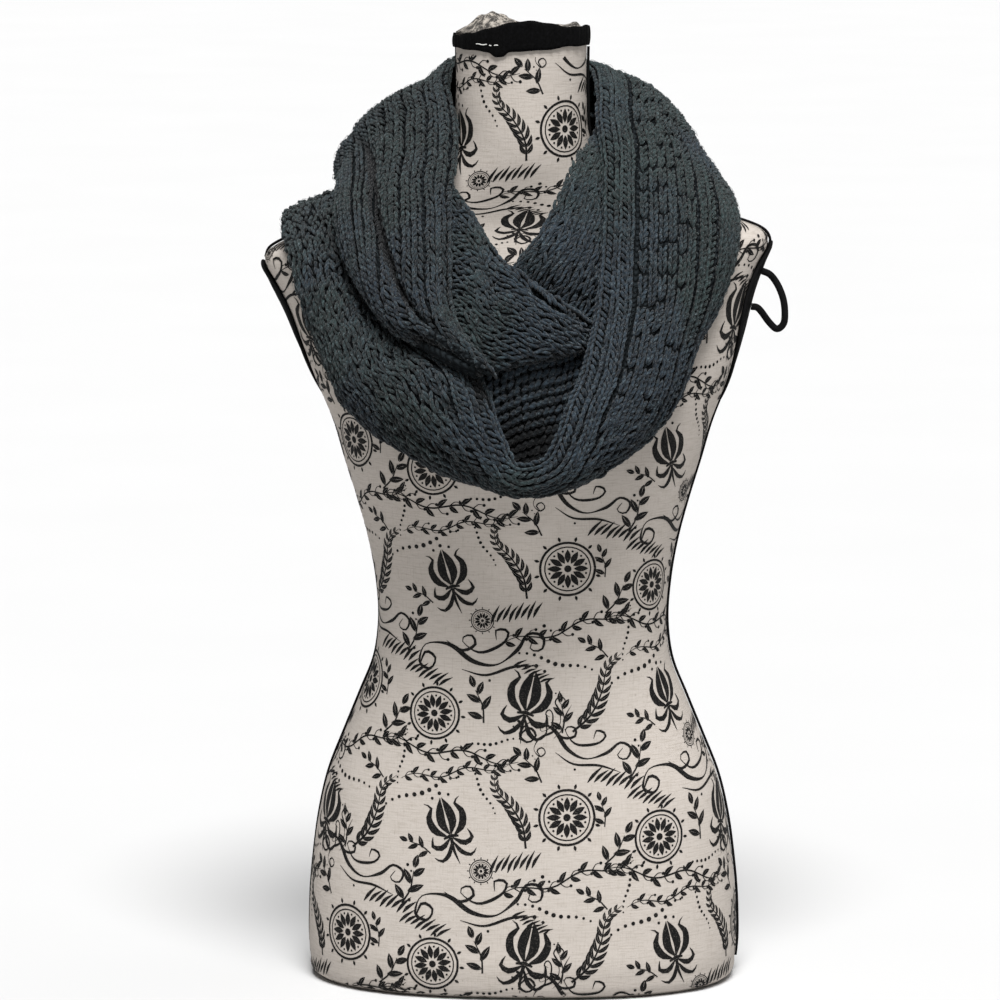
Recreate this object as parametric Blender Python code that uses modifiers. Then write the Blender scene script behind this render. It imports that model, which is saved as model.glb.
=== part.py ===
"""Infinity scarf wound twice round a limbless dress form.

Metres, +Z up, the front faces -Y. The form stands on Z = 0 with the neck's axis on X = Y = 0.
The tables are in millimetres and are read through MM. Left and right are the viewer's.

The scarf is one knitted ring. Its outer turn comes over the left shoulder, makes the V and goes
up over the right shoulder. Behind the neck it climbs to the inner left, crosses the front under
the neck opening, goes up on the inner right and comes back, behind the neck, to the outer left.
"""
import math
from collections import namedtuple

import bmesh
import bpy
from mathutils import Matrix, Vector

MM = 0.001
GAP = 0.0003                    # between pieces that touch
SMOOTH_BELOW = math.radians(50.0)   # edges that turn more than this stay sharp

# ---- The knitted band -------------------------------------------------------------------------
KNIT_WALL = 0.0040              # plain thickness of the cloth under its ribs
RIB_HEIGHT = 0.0018             # how far a rib stands out of that wall
EDGE_TUCK = 0.006               # the most cloth turned in behind the band's inner edge
EDGE_TUCK_SHARE = 0.3           # and what it is of the band's bulge, where that is flatter
ROLL = 0.10                     # how much of a section's width its rounded edges take
TUCK_BEND = 0.6                 # how deep a tuck's bend lies, of the tuck's whole depth
INNER_TUCK_TURN = 0.40          # how far under the turned-in inner edge runs, for its depth
OUTER_TUCK_TURN = 0.25          # and the outer edge
TANGENT_REACH = 0.2             # how far along, in rows, the band's direction is read
END_TRIM = 0.022                # how far each end is drawn back, in rows
RIB_FADE = 3                    # ribs raised at each side of the patterned middle

# ---- The dress form ---------------------------------------------------------------------------
SHOULDER_TILT = 0.043           # the right shoulder is this much higher for its distance out
TILT_START, TILT_FULL = 0.440, 0.560
TILT_FADE, TILT_END = 0.600, 0.660
TORSO_SHIFT = 0.0013            # the torso's middle, to the right of the neck's
FORM_TURN = math.radians(-3.0)   # the torso stands a little turned under the scarf
FORM_SIDES = 36
NECK_TOP = 0.7400
NECK_RADIUS = 0.0505
BAND_LOW, BAND_HIGH = 0.7285, 0.7470
BAND_THICK = 0.0020
BAND_ROUND = 0.0012             # at the band's outer edges
CAP_RISE = 0.0135
CAP_EDGE = 0.0006               # how thick the cap is at its rim
CAP_SQUARENESS = 2.6
CAP_SHARES = (0.0, 0.35, 0.65, 0.86, 0.96, 1.0)
ARMHOLE_MID_Z, ARMHOLE_HALF_Z = 0.5100, 0.0600
ARMHOLE_MID_Y, ARMHOLE_HALF_Y = 0.0140, 0.0360
ARMHOLE_THICK = 0.0030
ARMHOLE_THINNING = 0.45         # how much thinner its edge is than its middle
ARMHOLE_TOP_HEAVY = 0.55        # how much thicker it is at its top, and thinner at its foot
ARMHOLE_FOOT_NARROWING = 0.35   # how much narrower its lower half gets
ARMHOLE_SEAT = 0.0011           # off the torso's curve, so that the flat faces stay clear
ARMHOLE_RINGS = (0.12, 0.38, 0.60, 0.80, 0.93, 1.0)
ARMHOLE_SPOKES = 20
PIPING_RADIUS = 0.0011
PIPING_SEAT = 0.0005            # off the torso's curve, for the same reason
SIDE_SEAM_BACK = 0.0120         # the side seams lie this far behind the widest line
SIDE_SEAM_LOW = 0.0120
SHOULDER_SEAM_LOW = 0.5790
SHOULDER_SEAM_BACK = {-1: 0.0100, 1: 0.0}   # the left one lies behind the crest
SEAM_END = 0.0030               # between a seam's end and the trim that it runs to
SLOPE_REACH = 0.0020            # how far up and down the flank's slope is read
LOOP_RADIUS = 0.0027

LINEN = (0.56, 0.51, 0.45)
BLACK_CLOTH = (0.012, 0.012, 0.013)
CHARCOAL = (0.040, 0.052, 0.055)

Section = namedtuple("Section", "height half front back squareness")

# Torso and neck: height, half width, depth in front of and behind the neck's axis.
FORM_SECTIONS = [Section(*row) for row in (
    (0, 160, -93, 98, 2.3), (4, 165, -100, 105, 2.3), (14, 167, -104, 109, 2.3),
    (50, 168, -106, 112, 2.3), (95, 164.5, -104, 109, 2.3), (127, 160, -101, 104, 2.3),
    (159, 152.5, -97, 98, 2.3), (190, 140.5, -92, 90, 2.3), (222, 127.5, -87, 83, 2.3),
    (250, 116.5, -82, 77, 2.3), (277, 112.5, -80, 74, 2.3), (316, 114.5, -85, 77, 2.3),
    (348, 120, -92, 80, 2.3), (379, 128, -102, 84, 2.3), (411, 137.5, -112, 87, 2.3),
    (442, 146.5, -114, 89, 2.3), (474, 159.5, -107, 91, 2.4), (506, 170, -93, 92, 2.5),
    (537, 180, -76, 90, 2.6), (558, 189.5, -65, 86, 2.6), (569, 195, -59, 80, 2.6),
    (577, 194, -55, 76, 2.6), (586, 178, -51, 71, 2.5), (595, 150, -48, 67, 2.4),
    (610, 108, -47, 61, 2.3), (625, 78, -48, 57, 2.2), (642, 60, -50, 54, 2.1),
    (662, 52.5, -51, 52, 2.0), (690, 50.5, -50.5, 50.5, 2.0), (740, 50.5, -50.5, 50.5, 2.0))]

Row = namedtuple("Row", "in_x in_y in_z out_x out_y out_z bulge tuck")
Fold = namedtuple("Fold", "start end across_start across_end depth width")

# Each stretch of the band: a row for each section across it, from its inner edge, on the side
# of the neck, to its outer edge; how far the section bulges; how deep the outer edge is tucked.
OUTER_LEFT = [Row(*row) for row in (
    (-90, 10, 628, -184, 18, 597, 6, 9), (-104, -36, 611, -179, -46, 578, 4, 6),
    (-97, -76, 568, -170, -64, 546, 12, 6), (-83, -98, 536, -160, -74, 520, 20, 9),
    (-66, -126, 516, -149, -86, 495, 25, 11), (-50, -152, 508, -135, -99, 466, 27, 14),
    (-37, -171, 500, -111, -120, 446, 25, 18), (-28, -182, 484, -84, -138, 432, 22, 24),
    (-21, -188, 464, -58, -155, 420, 18, 22), (-13, -193, 448, -29, -170, 413, 14, 20),
    (-4, -196, 432, -1, -178, 409, 12, 20))]
OUTER_RIGHT = [Row(*row) for row in (
    (-4, -196, 432, -1, -178, 409, 12, 20), (17, -194, 436, 40, -168, 414, 13, 20),
    (29, -188, 456, 75, -142, 429, 16, 18), (37, -180, 475, 100, -117, 447, 20, 14),
    (47, -166, 495, 119, -98, 474, 23, 8), (53, -150, 516, 131, -85, 506, 25, 6),
    (58, -132, 537, 146, -70, 529, 26, 5), (62, -104, 572, 163, -54, 571, 26, 4),
    (64, -80, 608, 166, -24, 601, 24, 3), (64, -49, 648, 160, 30, 602, 28, 3),
    (61, -24, 674, 143, 77, 590, 40, 3), (61, 12, 698, 115, 99, 577, 48, 4),
    (55, 48, 711, 68, 118, 573, 35, 5))]
BACK_UPPER = [Row(*row) for row in (
    (55, 48, 711, 68, 118, 573, 35, 5), (28, 60, 713, 34, 128, 573, 34, 5),
    (0, 64, 712, 0, 131, 574, 30, 5), (-28, 60, 714, -36, 128, 578, 30, 5),
    (-52, 48, 716, -74, 115, 584, 20, 5))]
INNER_LEFT = [Row(*row) for row in (
    (-52, 48, 716, -74, 115, 584, 20, 5), (-59, 24, 705, -114, 95, 604, 20, 4),
    (-58, 4, 692, -142, 54, 620, 26, 4), (-53, -24, 677, -142, 12, 627, 20, 4),
    (-52, -50, 654, -139, -18, 620, 19, 4), (-56, -84, 627, -140, -52, 600, 19, 4),
    (-56, -108, 602, -135, -80, 578, 20, 5), (-56, -130, 577, -125, -104, 559, 20, 6),
    (-55, -148, 551, -111, -128, 541, 18, 8), (-48, -164, 531, -94, -150, 527, 14, 8),
    (-37, -176, 516, -73, -166, 520, 11, 7), (-28, -184, 506, -54, -178, 513, 8, 5),
    (-22, -190, 499, -34, -187, 503, 5, 3))]
INNER_FRONT = [Row(*row) for row in (
    (-57, -50, 636, -67, -131, 527, 3, 5), (-50, -73, 626, -58, -141, 516, 6, 5),
    (-38, -94, 610, -45, -153, 506, 11, 6), (-26, -111, 590, -31, -158, 499, 14, 6),
    (-14, -126, 576, -16, -162, 500, 14, 6), (-1, -134, 569, -1, -163, 504, 13, 6),
    (14, -139, 555, 16, -160, 508, 11, 6), (30, -139, 545, 33, -154, 510, 8, 5),
    (46, -128, 532, 50, -136, 511, 5, 5), (60, -112, 520, 62, -116, 508, 3, 4))]
INNER_BORDER = [Row(*row) for row in (
    (-39, -143, 500, -26, -127, 420, 12, 4), (-16, -146, 508, -11, -129, 415, 14, 4),
    (6, -145, 511, 6, -128, 415, 14, 4), (29, -138, 509, 23, -126, 422, 13, 4),
    (49, -127, 505, 40, -121, 436, 9, 3), (61, -110, 502, 54, -112, 452, 6, 2))]
INNER_RIGHT = [Row(*row) for row in (
    (-10, -114, 560, 58, -98, 520, 6, 4), (-1, -118, 576, 66, -88, 545, 8, 3),
    (11, -110, 590, 69, -75, 571, 9, 3), (21, -97, 605, 70, -59, 596, 8, 3),
    (29, -84, 621, 71, -42, 619, 7, 3), (36, -70, 635, 72, -24, 635, 7, 3),
    (44, -50, 650, 74, -2, 641, 7, 3), (57, -19, 663, 80, 22, 634, 7, 3),
    (62, 8, 674, 84, 46, 624, 8, 3))]
BACK_LOWER = [Row(*row) for row in (
    (62, 8, 674, 84, 46, 624, 8, 3), (50, 40, 672, 67, 84, 604, 10, 4),
    (20, 57, 666, 26, 101, 586, 12, 4), (-8, 60, 658, -14, 107, 570, 14, 4),
    (-40, 56, 650, -64, 106, 556, 16, 4), (-66, 44, 640, -118, 92, 554, 14, 4),
    (-82, 30, 631, -161, 70, 575, 8, 3), (-90, 10, 628, -184, 18, 597, 6, 9))]

# The ring in the order in which it is wound. Neighbours share the row between them. The front
# and its border are cloth of the same ring, turned over, and are wound by themselves.
WOUND = (INNER_RIGHT, BACK_LOWER, OUTER_LEFT, OUTER_RIGHT, BACK_UPPER, INNER_LEFT)

# name, rows, sections built, ribs across, ribbed all over, folds
Stretch = namedtuple("Stretch", "name rows stations ribs all_ribbed folds")
STRETCHES = (
    Stretch("scarf_outer_left", OUTER_LEFT, 18, 12, False,
            (Fold(0.45, 1.00, 0.30, 0.26, 3.5, 0.05), Fold(0.10, 0.60, 0.62, 0.48, 3.0, 0.07))),
    Stretch("scarf_outer_right", OUTER_RIGHT, 21, 13, False,
            (Fold(0.10, 0.95, 0.32, 0.28, 2.0, 0.04), Fold(0.05, 0.70, 0.80, 0.70, 2.5, 0.06))),
    Stretch("scarf_back_upper", BACK_UPPER, 9, 11, False,
            (Fold(0.00, 1.00, 0.45, 0.60, 5.0, 0.06),)),
    Stretch("scarf_inner_left", INNER_LEFT, 20, 10, True,
            (Fold(0.10, 0.95, 0.69, 0.41, 11.0, 0.055),)),
    Stretch("scarf_inner_front", INNER_FRONT, 15, 7, False,
            (Fold(0.10, 0.50, 0.20, 0.35, 3.0, 0.06),)),
    Stretch("scarf_inner_border", INNER_BORDER, 9, 5, True, ()),
    Stretch("scarf_inner_right", INNER_RIGHT, 13, 5, False, ()),
    Stretch("scarf_back_lower", BACK_LOWER, 12, 8, False,
            (Fold(0.25, 1.00, 0.40, 0.55, 4.0, 0.07),)),
)

# The cord loop: its two roots on the right armhole's cap, as (y, z), and its route between them.
LOOP_ROOTS = (-0.002, 0.551), (-0.006, 0.525)
LOOP_SEAT = 0.0005              # between the cap and the cord's flat ends
LOOP_ROOT_OUT = 0.006           # how far straight out of the cap each end runs
LOOP_ROUTE = [Vector(point) * MM for point in (
    (196, -10, 550), (200, -12, 543), (203, -14, 534), (204, -15, 524), (203, -14, 516),
    (198, -13, 512), (192, -11, 517))]
LOOP_STEPS = 2


# ---- Helpers ----------------------------------------------------------------------------------
def clear_scene():
    for thing in list(bpy.data.objects):
        bpy.data.objects.remove(thing, do_unlink=True)


def material(name, colour, roughness):
    finish = bpy.data.materials.new(name)
    finish.use_nodes = True
    shader = finish.node_tree.nodes["Principled BSDF"]
    shader.inputs["Base Color"].default_value = (*colour, 1.0)
    shader.inputs["Roughness"].default_value = roughness
    shader.inputs["Metallic"].default_value = 0.0
    return finish


def catmull(values, place):
    """A smooth value at a place, counted in steps, through a list of numbers or vectors."""
    last = len(values) - 1
    place = min(max(place, 0.0), last)
    index = min(int(place), last - 1)
    t = place - index
    b, c = values[index], values[index + 1]
    a = values[index - 1] if index else b + (b - c)
    d = values[index + 2] if index + 2 <= last else c + (c - b)
    return 0.5 * (2 * b + (c - a) * t + (2 * a - 5 * b + 4 * c - d) * t ** 2
                  + (3 * b - a - 3 * c + d) * t ** 3)


def smoothstep(low, high, value):
    t = min(max((value - low) / (high - low), 0.0), 1.0)
    return t * t * (3 - 2 * t)


def add_object(name, shape, finish):
    """The object made from a closed bmesh, with its faces turned out and shaded smooth."""
    bmesh.ops.recalc_face_normals(shape, faces=shape.faces)
    mesh = bpy.data.meshes.new(name)
    shape.to_mesh(mesh)
    shape.free()
    mesh.materials.append(finish)
    mesh.shade_smooth()
    mesh.set_sharp_from_angle(angle=SMOOTH_BELOW)
    PARTS.objects.link(bpy.data.objects.new(name, mesh))


def closed_wall(name, outer, inner, finish):
    """A closed wall between two grids of points, with faces round its four edges."""
    rows, columns = len(outer), len(outer[0])
    shape = bmesh.new()
    face_a = [[shape.verts.new(point) for point in line] for line in outer]
    face_b = [[shape.verts.new(point) for point in line] for line in inner]
    for i in range(rows - 1):
        for j in range(columns - 1):
            shape.faces.new((face_a[i][j], face_a[i + 1][j], face_a[i + 1][j + 1], face_a[i][j + 1]))
            shape.faces.new((face_b[i][j], face_b[i][j + 1], face_b[i + 1][j + 1], face_b[i + 1][j]))
    for i in range(rows - 1):
        for j in (0, columns - 1):
            shape.faces.new((face_a[i][j], face_a[i + 1][j], face_b[i + 1][j], face_b[i][j]))
    for j in range(columns - 1):
        for i in (0, rows - 1):
            shape.faces.new((face_a[i][j], face_a[i][j + 1], face_b[i][j + 1], face_b[i][j]))
    add_object(name, shape, finish)


# ---- Scarf ------------------------------------------------------------------------------------
def bezier(a, b, c, d, t):
    s = 1 - t
    return a * s ** 3 + b * (3 * s * s * t) + c * (3 * s * t * t) + d * t ** 3


def wound_rows(stretch):
    """The rows of the ring that a stretch belongs to, and the place where it starts in them."""
    if all(stretch.rows is not rows for rows in WOUND):
        return stretch.rows, 0
    ring, start = list(WOUND[0]), 0
    for rows in WOUND:
        if rows is stretch.rows:
            start = max(len(ring) - 1, 0) if rows is not WOUND[0] else 0
        if rows is not WOUND[0]:
            ring += rows[1:]
    return ring, start


def band_section(rows, place, columns):
    """Points across the band at one place along it: tuck, bulging face, tuck."""
    inner = catmull([Vector((r.in_x, r.in_y, r.in_z)) * MM for r in rows], place)
    outer = catmull([Vector((r.out_x, r.out_y, r.out_z)) * MM for r in rows], place)
    bulge = catmull([r.bulge * MM for r in rows], place)
    tuck = catmull([r.tuck * MM for r in rows], place)
    middles = [Vector((r.in_x + r.out_x, r.in_y + r.out_y, r.in_z + r.out_z)) * MM for r in rows]
    along = catmull(middles, place + TANGENT_REACH) - catmull(middles, place - TANGENT_REACH)
    chord = outer - inner
    normal = chord.cross(along).normalized()
    across = chord.normalized()
    handle = normal * (bulge * 4 / 3)
    face = [bezier(inner, inner + chord * ROLL + handle, outer - chord * ROLL + handle, outer,
                   j / (columns - 1)) for j in range(columns)]
    turn = min(EDGE_TUCK, bulge * EDGE_TUCK_SHARE)
    turned_in = [inner - normal * turn + across * turn * INNER_TUCK_TURN,
                 inner - normal * turn * TUCK_BEND]
    turned_out = [outer - normal * tuck * TUCK_BEND,
                  outer - normal * tuck - across * tuck * OUTER_TUCK_TURN]
    return turned_in + face + turned_out, normal


def fold_depth(folds, along, across):
    depth = 0.0
    for fold in folds:
        if fold.start < along < fold.end:
            share = (along - fold.start) / (fold.end - fold.start)
            centre = fold.across_start + (fold.across_end - fold.across_start) * share
            fade = math.sin(math.pi * share) ** 0.5
            depth += fold.depth * MM * fade * math.exp(-((across - centre) / fold.width) ** 2)
    return depth


def section_normals(before, here, after):
    """The way out of the cloth at each point of a section, from the sections beside it."""
    last = len(here) - 1
    return [(here[min(j + 1, last)] - here[max(j - 1, 0)]).cross(after[j] - before[j]).normalized()
            for j in range(last + 1)]


def rib_rise(stretch, station, column, columns):
    """Ribs run along the band; in its middle they are broken into a basket pattern."""
    peak = column % 2
    from_edge = min(column, columns - 1 - column) / 2
    if not stretch.all_ribbed and from_edge > RIB_FADE and (station // 2) % 2:
        peak = 1 - peak
    return RIB_HEIGHT * peak if 0 < column < columns - 1 else 0.0


def build_stretch(stretch):
    columns = 2 * stretch.ribs + 1
    ring, start = wound_rows(stretch)
    steps = len(stretch.rows) - 1

    def section(along):
        points, normal = band_section(ring, start + along * steps, columns)
        for j in range(columns):
            points[j + 2] -= normal * fold_depth(stretch.folds, along, j / (columns - 1))
        return points

    outer, inner = [], []
    for i in range(stretch.stations):
        along = (END_TRIM + (steps - 2 * END_TRIM) * i / (stretch.stations - 1)) / steps
        reach = TANGENT_REACH / steps
        line = section(along)
        normals = section_normals(section(along - reach), line, section(along + reach))
        rises = [0.0, 0.0] + [rib_rise(stretch, i, j, columns) for j in range(columns)] + [0.0, 0.0]
        outer.append([p + n * rise for p, n, rise in zip(line, normals, rises)])
        inner.append([p - n * KNIT_WALL for p, n in zip(line, normals)])
    closed_wall(stretch.name, outer, inner, KNIT)


# ---- Dress form -------------------------------------------------------------------------------
def form_section(height):
    """The torso's half width, front and back depth and squareness at a height, in metres."""
    table = FORM_SECTIONS
    level = min(max(height / MM, table[0].height), table[-1].height)
    index = max(i for i, s in enumerate(table) if s.height <= level)
    if index == len(table) - 1:
        s = table[-1]
        return s.half * MM, s.front * MM, s.back * MM, s.squareness
    low, high = table[index], table[index + 1]
    t = (level - low.height) / (high.height - low.height)
    mix = [a + (b - a) * t for a, b in zip(low[1:], high[1:])]
    return mix[0] * MM, mix[1] * MM, mix[2] * MM, mix[3]


def place_on_form(x, y, z):
    """A point of the straight torso, with the shoulders' tilt and the form's small turn."""
    below_neck = 1 - smoothstep(TILT_FADE, TILT_END, z)
    tilt = SHOULDER_TILT * smoothstep(TILT_START, TILT_FULL, z) * below_neck
    point = Vector((x + TORSO_SHIFT * below_neck - tilt * (z - TILT_START), y, z + tilt * x))
    return Matrix.Rotation(FORM_TURN, 3, "Z") @ point


def torso_ring(height):
    half, front, back, squareness = form_section(height)
    middle, depth = (front + back) / 2, (back - front) / 2
    power = 2 / squareness
    ring = []
    for k in range(FORM_SIDES):
        angle = 2 * math.pi * k / FORM_SIDES
        c, s = math.cos(angle), math.sin(angle)
        x = half * math.copysign(abs(c) ** power, c)
        y = middle + depth * math.copysign(abs(s) ** power, s)
        ring.append(place_on_form(x, y, height))
    return ring


def torso_side(side, y, z, out, up=0.0):
    """A point on the torso's flank at y and z, moved out and up."""
    half, front, back, squareness = form_section(z)
    middle, depth = (front + back) / 2, (back - front) / 2
    share = min(abs((y - middle) / depth), 1.0) ** squareness
    x = half * (1 - share) ** (1 / squareness)
    return place_on_form(side * (x + out), y, z + up)


def build_body():
    shape = bmesh.new()
    rings = [[shape.verts.new(p) for p in torso_ring(s.height * MM)] for s in FORM_SECTIONS]
    for low, high in zip(rings, rings[1:]):
        for k in range(FORM_SIDES):
            n = (k + 1) % FORM_SIDES
            shape.faces.new((low[k], low[n], high[n], high[k]))
    shape.faces.new(list(reversed(rings[0])))
    shape.faces.new(rings[-1])
    add_object("form_body", shape, LINEN_CLOTH)


def turned(name, profile, finish):
    """A turned piece: profile points as (radius, height), down its outer side."""
    mesh = bpy.data.meshes.new(name)
    points = [(radius, 0.0, height) for radius, height in profile]
    mesh.from_pydata(points, [(i, i + 1) for i in range(len(points) - 1)], [])
    thing = bpy.data.objects.new(name, mesh)
    mesh.materials.append(finish)
    PARTS.objects.link(thing)
    screw = thing.modifiers.new("Turn", "SCREW")
    screw.steps = screw.render_steps = FORM_SIDES
    screw.use_merge_vertices = True
    screw.merge_threshold = 0.0001
    screw.use_smooth_shade = True


def build_neck_top():
    inside = NECK_RADIUS + GAP
    outside = inside + BAND_THICK
    turned("form_neck_band", (
        (inside, BAND_HIGH), (outside - BAND_ROUND, BAND_HIGH), (outside, BAND_HIGH - BAND_ROUND),
        (outside, BAND_LOW + BAND_ROUND), (outside - BAND_ROUND, BAND_LOW), (inside, BAND_LOW),
        (inside, BAND_HIGH)), BLACK_TRIM)
    low = NECK_TOP + GAP
    dome = [(share * NECK_RADIUS, low + CAP_EDGE + CAP_RISE * (1 - share ** CAP_SQUARENESS))
            for share in CAP_SHARES]
    turned("form_neck_cap", dome + [(NECK_RADIUS, low), (0.0, low)], LINEN_CLOTH)


def armhole_thickness(share, z):
    """How thick the cap is, at a share of its size and at a height."""
    from_middle = (z - ARMHOLE_MID_Z) / ARMHOLE_HALF_Z
    return (ARMHOLE_THICK * (1 - ARMHOLE_THINNING * share ** 4)
            * (1 + ARMHOLE_TOP_HEAVY * from_middle))


def armhole_ring(side, share, thickness_share):
    """An egg of points on the flank, a share of the armhole's size, with its foot narrower."""
    ring = []
    for k in range(ARMHOLE_SPOKES):
        angle = 2 * math.pi * k / ARMHOLE_SPOKES
        across = share * math.cos(angle) * (1 - ARMHOLE_FOOT_NARROWING * max(-math.sin(angle), 0.0))
        z = ARMHOLE_MID_Z + ARMHOLE_HALF_Z * share * math.sin(angle)
        out = ARMHOLE_SEAT + armhole_thickness(share, z) * thickness_share
        ring.append(torso_side(side, ARMHOLE_MID_Y + ARMHOLE_HALF_Y * across, z, out))
    return ring


def build_armhole(name, side):
    """An oval cap that follows the flank and thins towards its edge."""
    shape = bmesh.new()
    front, rear = [], []
    for share in ARMHOLE_RINGS:
        outside = armhole_ring(side, share, 1.0)
        inside = armhole_ring(side, share, 0.0)
        front.append([shape.verts.new(point) for point in outside])
        rear.append([shape.verts.new(point) for point in inside])
    for k in range(ARMHOLE_SPOKES):
        n = (k + 1) % ARMHOLE_SPOKES
        for a, b in zip(range(len(front) - 1), range(1, len(front))):
            shape.faces.new((front[a][k], front[b][k], front[b][n], front[a][n]))
            shape.faces.new((rear[a][k], rear[a][n], rear[b][n], rear[b][k]))
        shape.faces.new((front[-1][k], rear[-1][k], rear[-1][n], front[-1][n]))
    shape.faces.new(front[0])
    shape.faces.new(rear[0])
    add_object(name, shape, BLACK_TRIM)


def tube(name, points, radius, finish, resolution):
    """A round cord through the points, with closed ends."""
    curve = bpy.data.curves.new(name, "CURVE")
    curve.dimensions = "3D"
    curve.bevel_depth = radius
    curve.bevel_resolution = resolution
    curve.use_fill_caps = True
    spline = curve.splines.new("POLY")
    spline.points.add(len(points) - 1)
    for slot, point in zip(spline.points, points):
        slot.co = (*point, 1.0)
    curve.materials.append(finish)
    PARTS.objects.link(bpy.data.objects.new(name, curve))


def off_flank(side, y, z, out):
    """A point off the torso's flank, straight out of its slope at that height."""
    wider, narrower = form_section(z + SLOPE_REACH)[0], form_section(z - SLOPE_REACH)[0]
    slope = (wider - narrower) / (2 * SLOPE_REACH)
    lean = math.sqrt(1 + slope * slope)
    return torso_side(side, y, z, out / lean, -out * slope / lean)


def build_piping(name, side, low, high, behind):
    """Piping along a seam on the flank, with a point wherever the form's faces bend."""
    bends = [s.height * MM for s in FORM_SECTIONS]
    heights = [low] + [z for z in bends if low + SLOPE_REACH < z < high - SLOPE_REACH] + [high]
    points = []
    for z in heights:
        _, front, back, _ = form_section(z)
        points.append(off_flank(side, (front + back) / 2 + behind, z, PIPING_RADIUS + PIPING_SEAT))
    tube(name, points, PIPING_RADIUS, BLACK_TRIM, 1)


def build_loop():
    ends = []
    for y, z in LOOP_ROOTS:
        share = math.hypot((y - ARMHOLE_MID_Y) / ARMHOLE_HALF_Y, (z - ARMHOLE_MID_Z) / ARMHOLE_HALF_Z)
        seat = ARMHOLE_SEAT + armhole_thickness(share, z) + LOOP_SEAT
        ends.append([off_flank(1, y, z, seat), off_flank(1, y, z, seat + LOOP_ROOT_OUT)])
    route = ends[0] + LOOP_ROUTE + ends[1][::-1]
    count = (len(route) - 1) * LOOP_STEPS + 1
    points = [catmull(route, i / LOOP_STEPS) for i in range(count)]
    tube("form_loop", points, LOOP_RADIUS, BLACK_TRIM, 2)


# ---- The whole part ---------------------------------------------------------------------------
clear_scene()
PARTS = bpy.data.collections.new("InfinityScarfOnDressForm")
bpy.context.scene.collection.children.link(PARTS)
KNIT = material("charcoal_knit", CHARCOAL, 0.95)
LINEN_CLOTH = material("printed_linen", LINEN, 0.9)
BLACK_TRIM = material("black_trim", BLACK_CLOTH, 0.8)

build_body()
build_neck_top()
for SIDE_NAME, SIDE in (("left", -1), ("right", 1)):
    build_armhole("form_armhole_" + SIDE_NAME, SIDE)
    build_piping("form_piping_side_" + SIDE_NAME, SIDE, SIDE_SEAM_LOW,
                 ARMHOLE_MID_Z - ARMHOLE_HALF_Z - SEAM_END, SIDE_SEAM_BACK)
    build_piping("form_piping_shoulder_" + SIDE_NAME, SIDE, SHOULDER_SEAM_LOW,
                 BAND_LOW - SEAM_END, SHOULDER_SEAM_BACK[SIDE])
build_loop()
for STRETCH in STRETCHES:
    build_stretch(STRETCH)
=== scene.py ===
"""Infinity scarf, wound twice round a limbless dress form: the looks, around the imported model.

Metres, +Z up, the front faces -Y. Left and right are the viewer's.
"""
import math

import bmesh
import bpy
import numpy as np
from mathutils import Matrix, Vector


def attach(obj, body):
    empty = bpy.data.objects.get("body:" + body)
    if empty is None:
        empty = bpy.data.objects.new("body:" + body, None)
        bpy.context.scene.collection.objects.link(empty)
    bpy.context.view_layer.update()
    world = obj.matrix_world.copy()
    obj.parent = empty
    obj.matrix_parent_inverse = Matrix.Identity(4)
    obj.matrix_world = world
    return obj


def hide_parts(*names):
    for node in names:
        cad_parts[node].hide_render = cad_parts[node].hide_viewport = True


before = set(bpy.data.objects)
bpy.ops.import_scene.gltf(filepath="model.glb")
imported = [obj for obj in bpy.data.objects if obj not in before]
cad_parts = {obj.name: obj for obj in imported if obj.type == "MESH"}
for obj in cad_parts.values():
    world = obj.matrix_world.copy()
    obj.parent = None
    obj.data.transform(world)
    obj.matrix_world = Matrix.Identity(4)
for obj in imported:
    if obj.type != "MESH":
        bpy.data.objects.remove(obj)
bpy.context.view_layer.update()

# ---- Camera -----------------------------------------------------------------------------------
# It looks a little down on the form, from straight in front. It stands far off behind a long
# lens, so that the near parts of the form look hardly larger than the far ones.
CAMERA_RISE = math.radians(8.5)
CAMERA_DISTANCE, CAMERA_REACH = 4.5, 50
CAMERA_AIM = Vector((-0.01638, 0.0, 0.37605))
CAMERA_SENSOR, CAMERA_LENS = 36, 207.7          # mm, for 0.78 m across at the form

towards_camera = Vector((0, -math.cos(CAMERA_RISE), math.sin(CAMERA_RISE)))
bpy.ops.object.camera_add(location=CAMERA_AIM + CAMERA_DISTANCE * towards_camera,
                          rotation=(math.pi / 2 - CAMERA_RISE, 0, 0))
camera = bpy.context.object
camera.data.sensor_width = CAMERA_SENSOR
camera.data.lens = CAMERA_LENS
camera.data.clip_end = CAMERA_REACH
bpy.context.scene.camera = camera

# ---- Cord loop --------------------------------------------------------------------------------
# A limp black cotton cord, sewn by both ends to the right armhole's cap, that the form is hung
# and carried by. It is a tube of braid, so it is swept along its route with a braid in relief.
MM = 0.001
SHOULDER_TILT = 0.043
TILT_START, TILT_FULL, TILT_FADE, TILT_END = 0.440, 0.560, 0.600, 0.660
TORSO_SHIFT = 0.0013
FORM_TURN = math.radians(-3.0)
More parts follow.
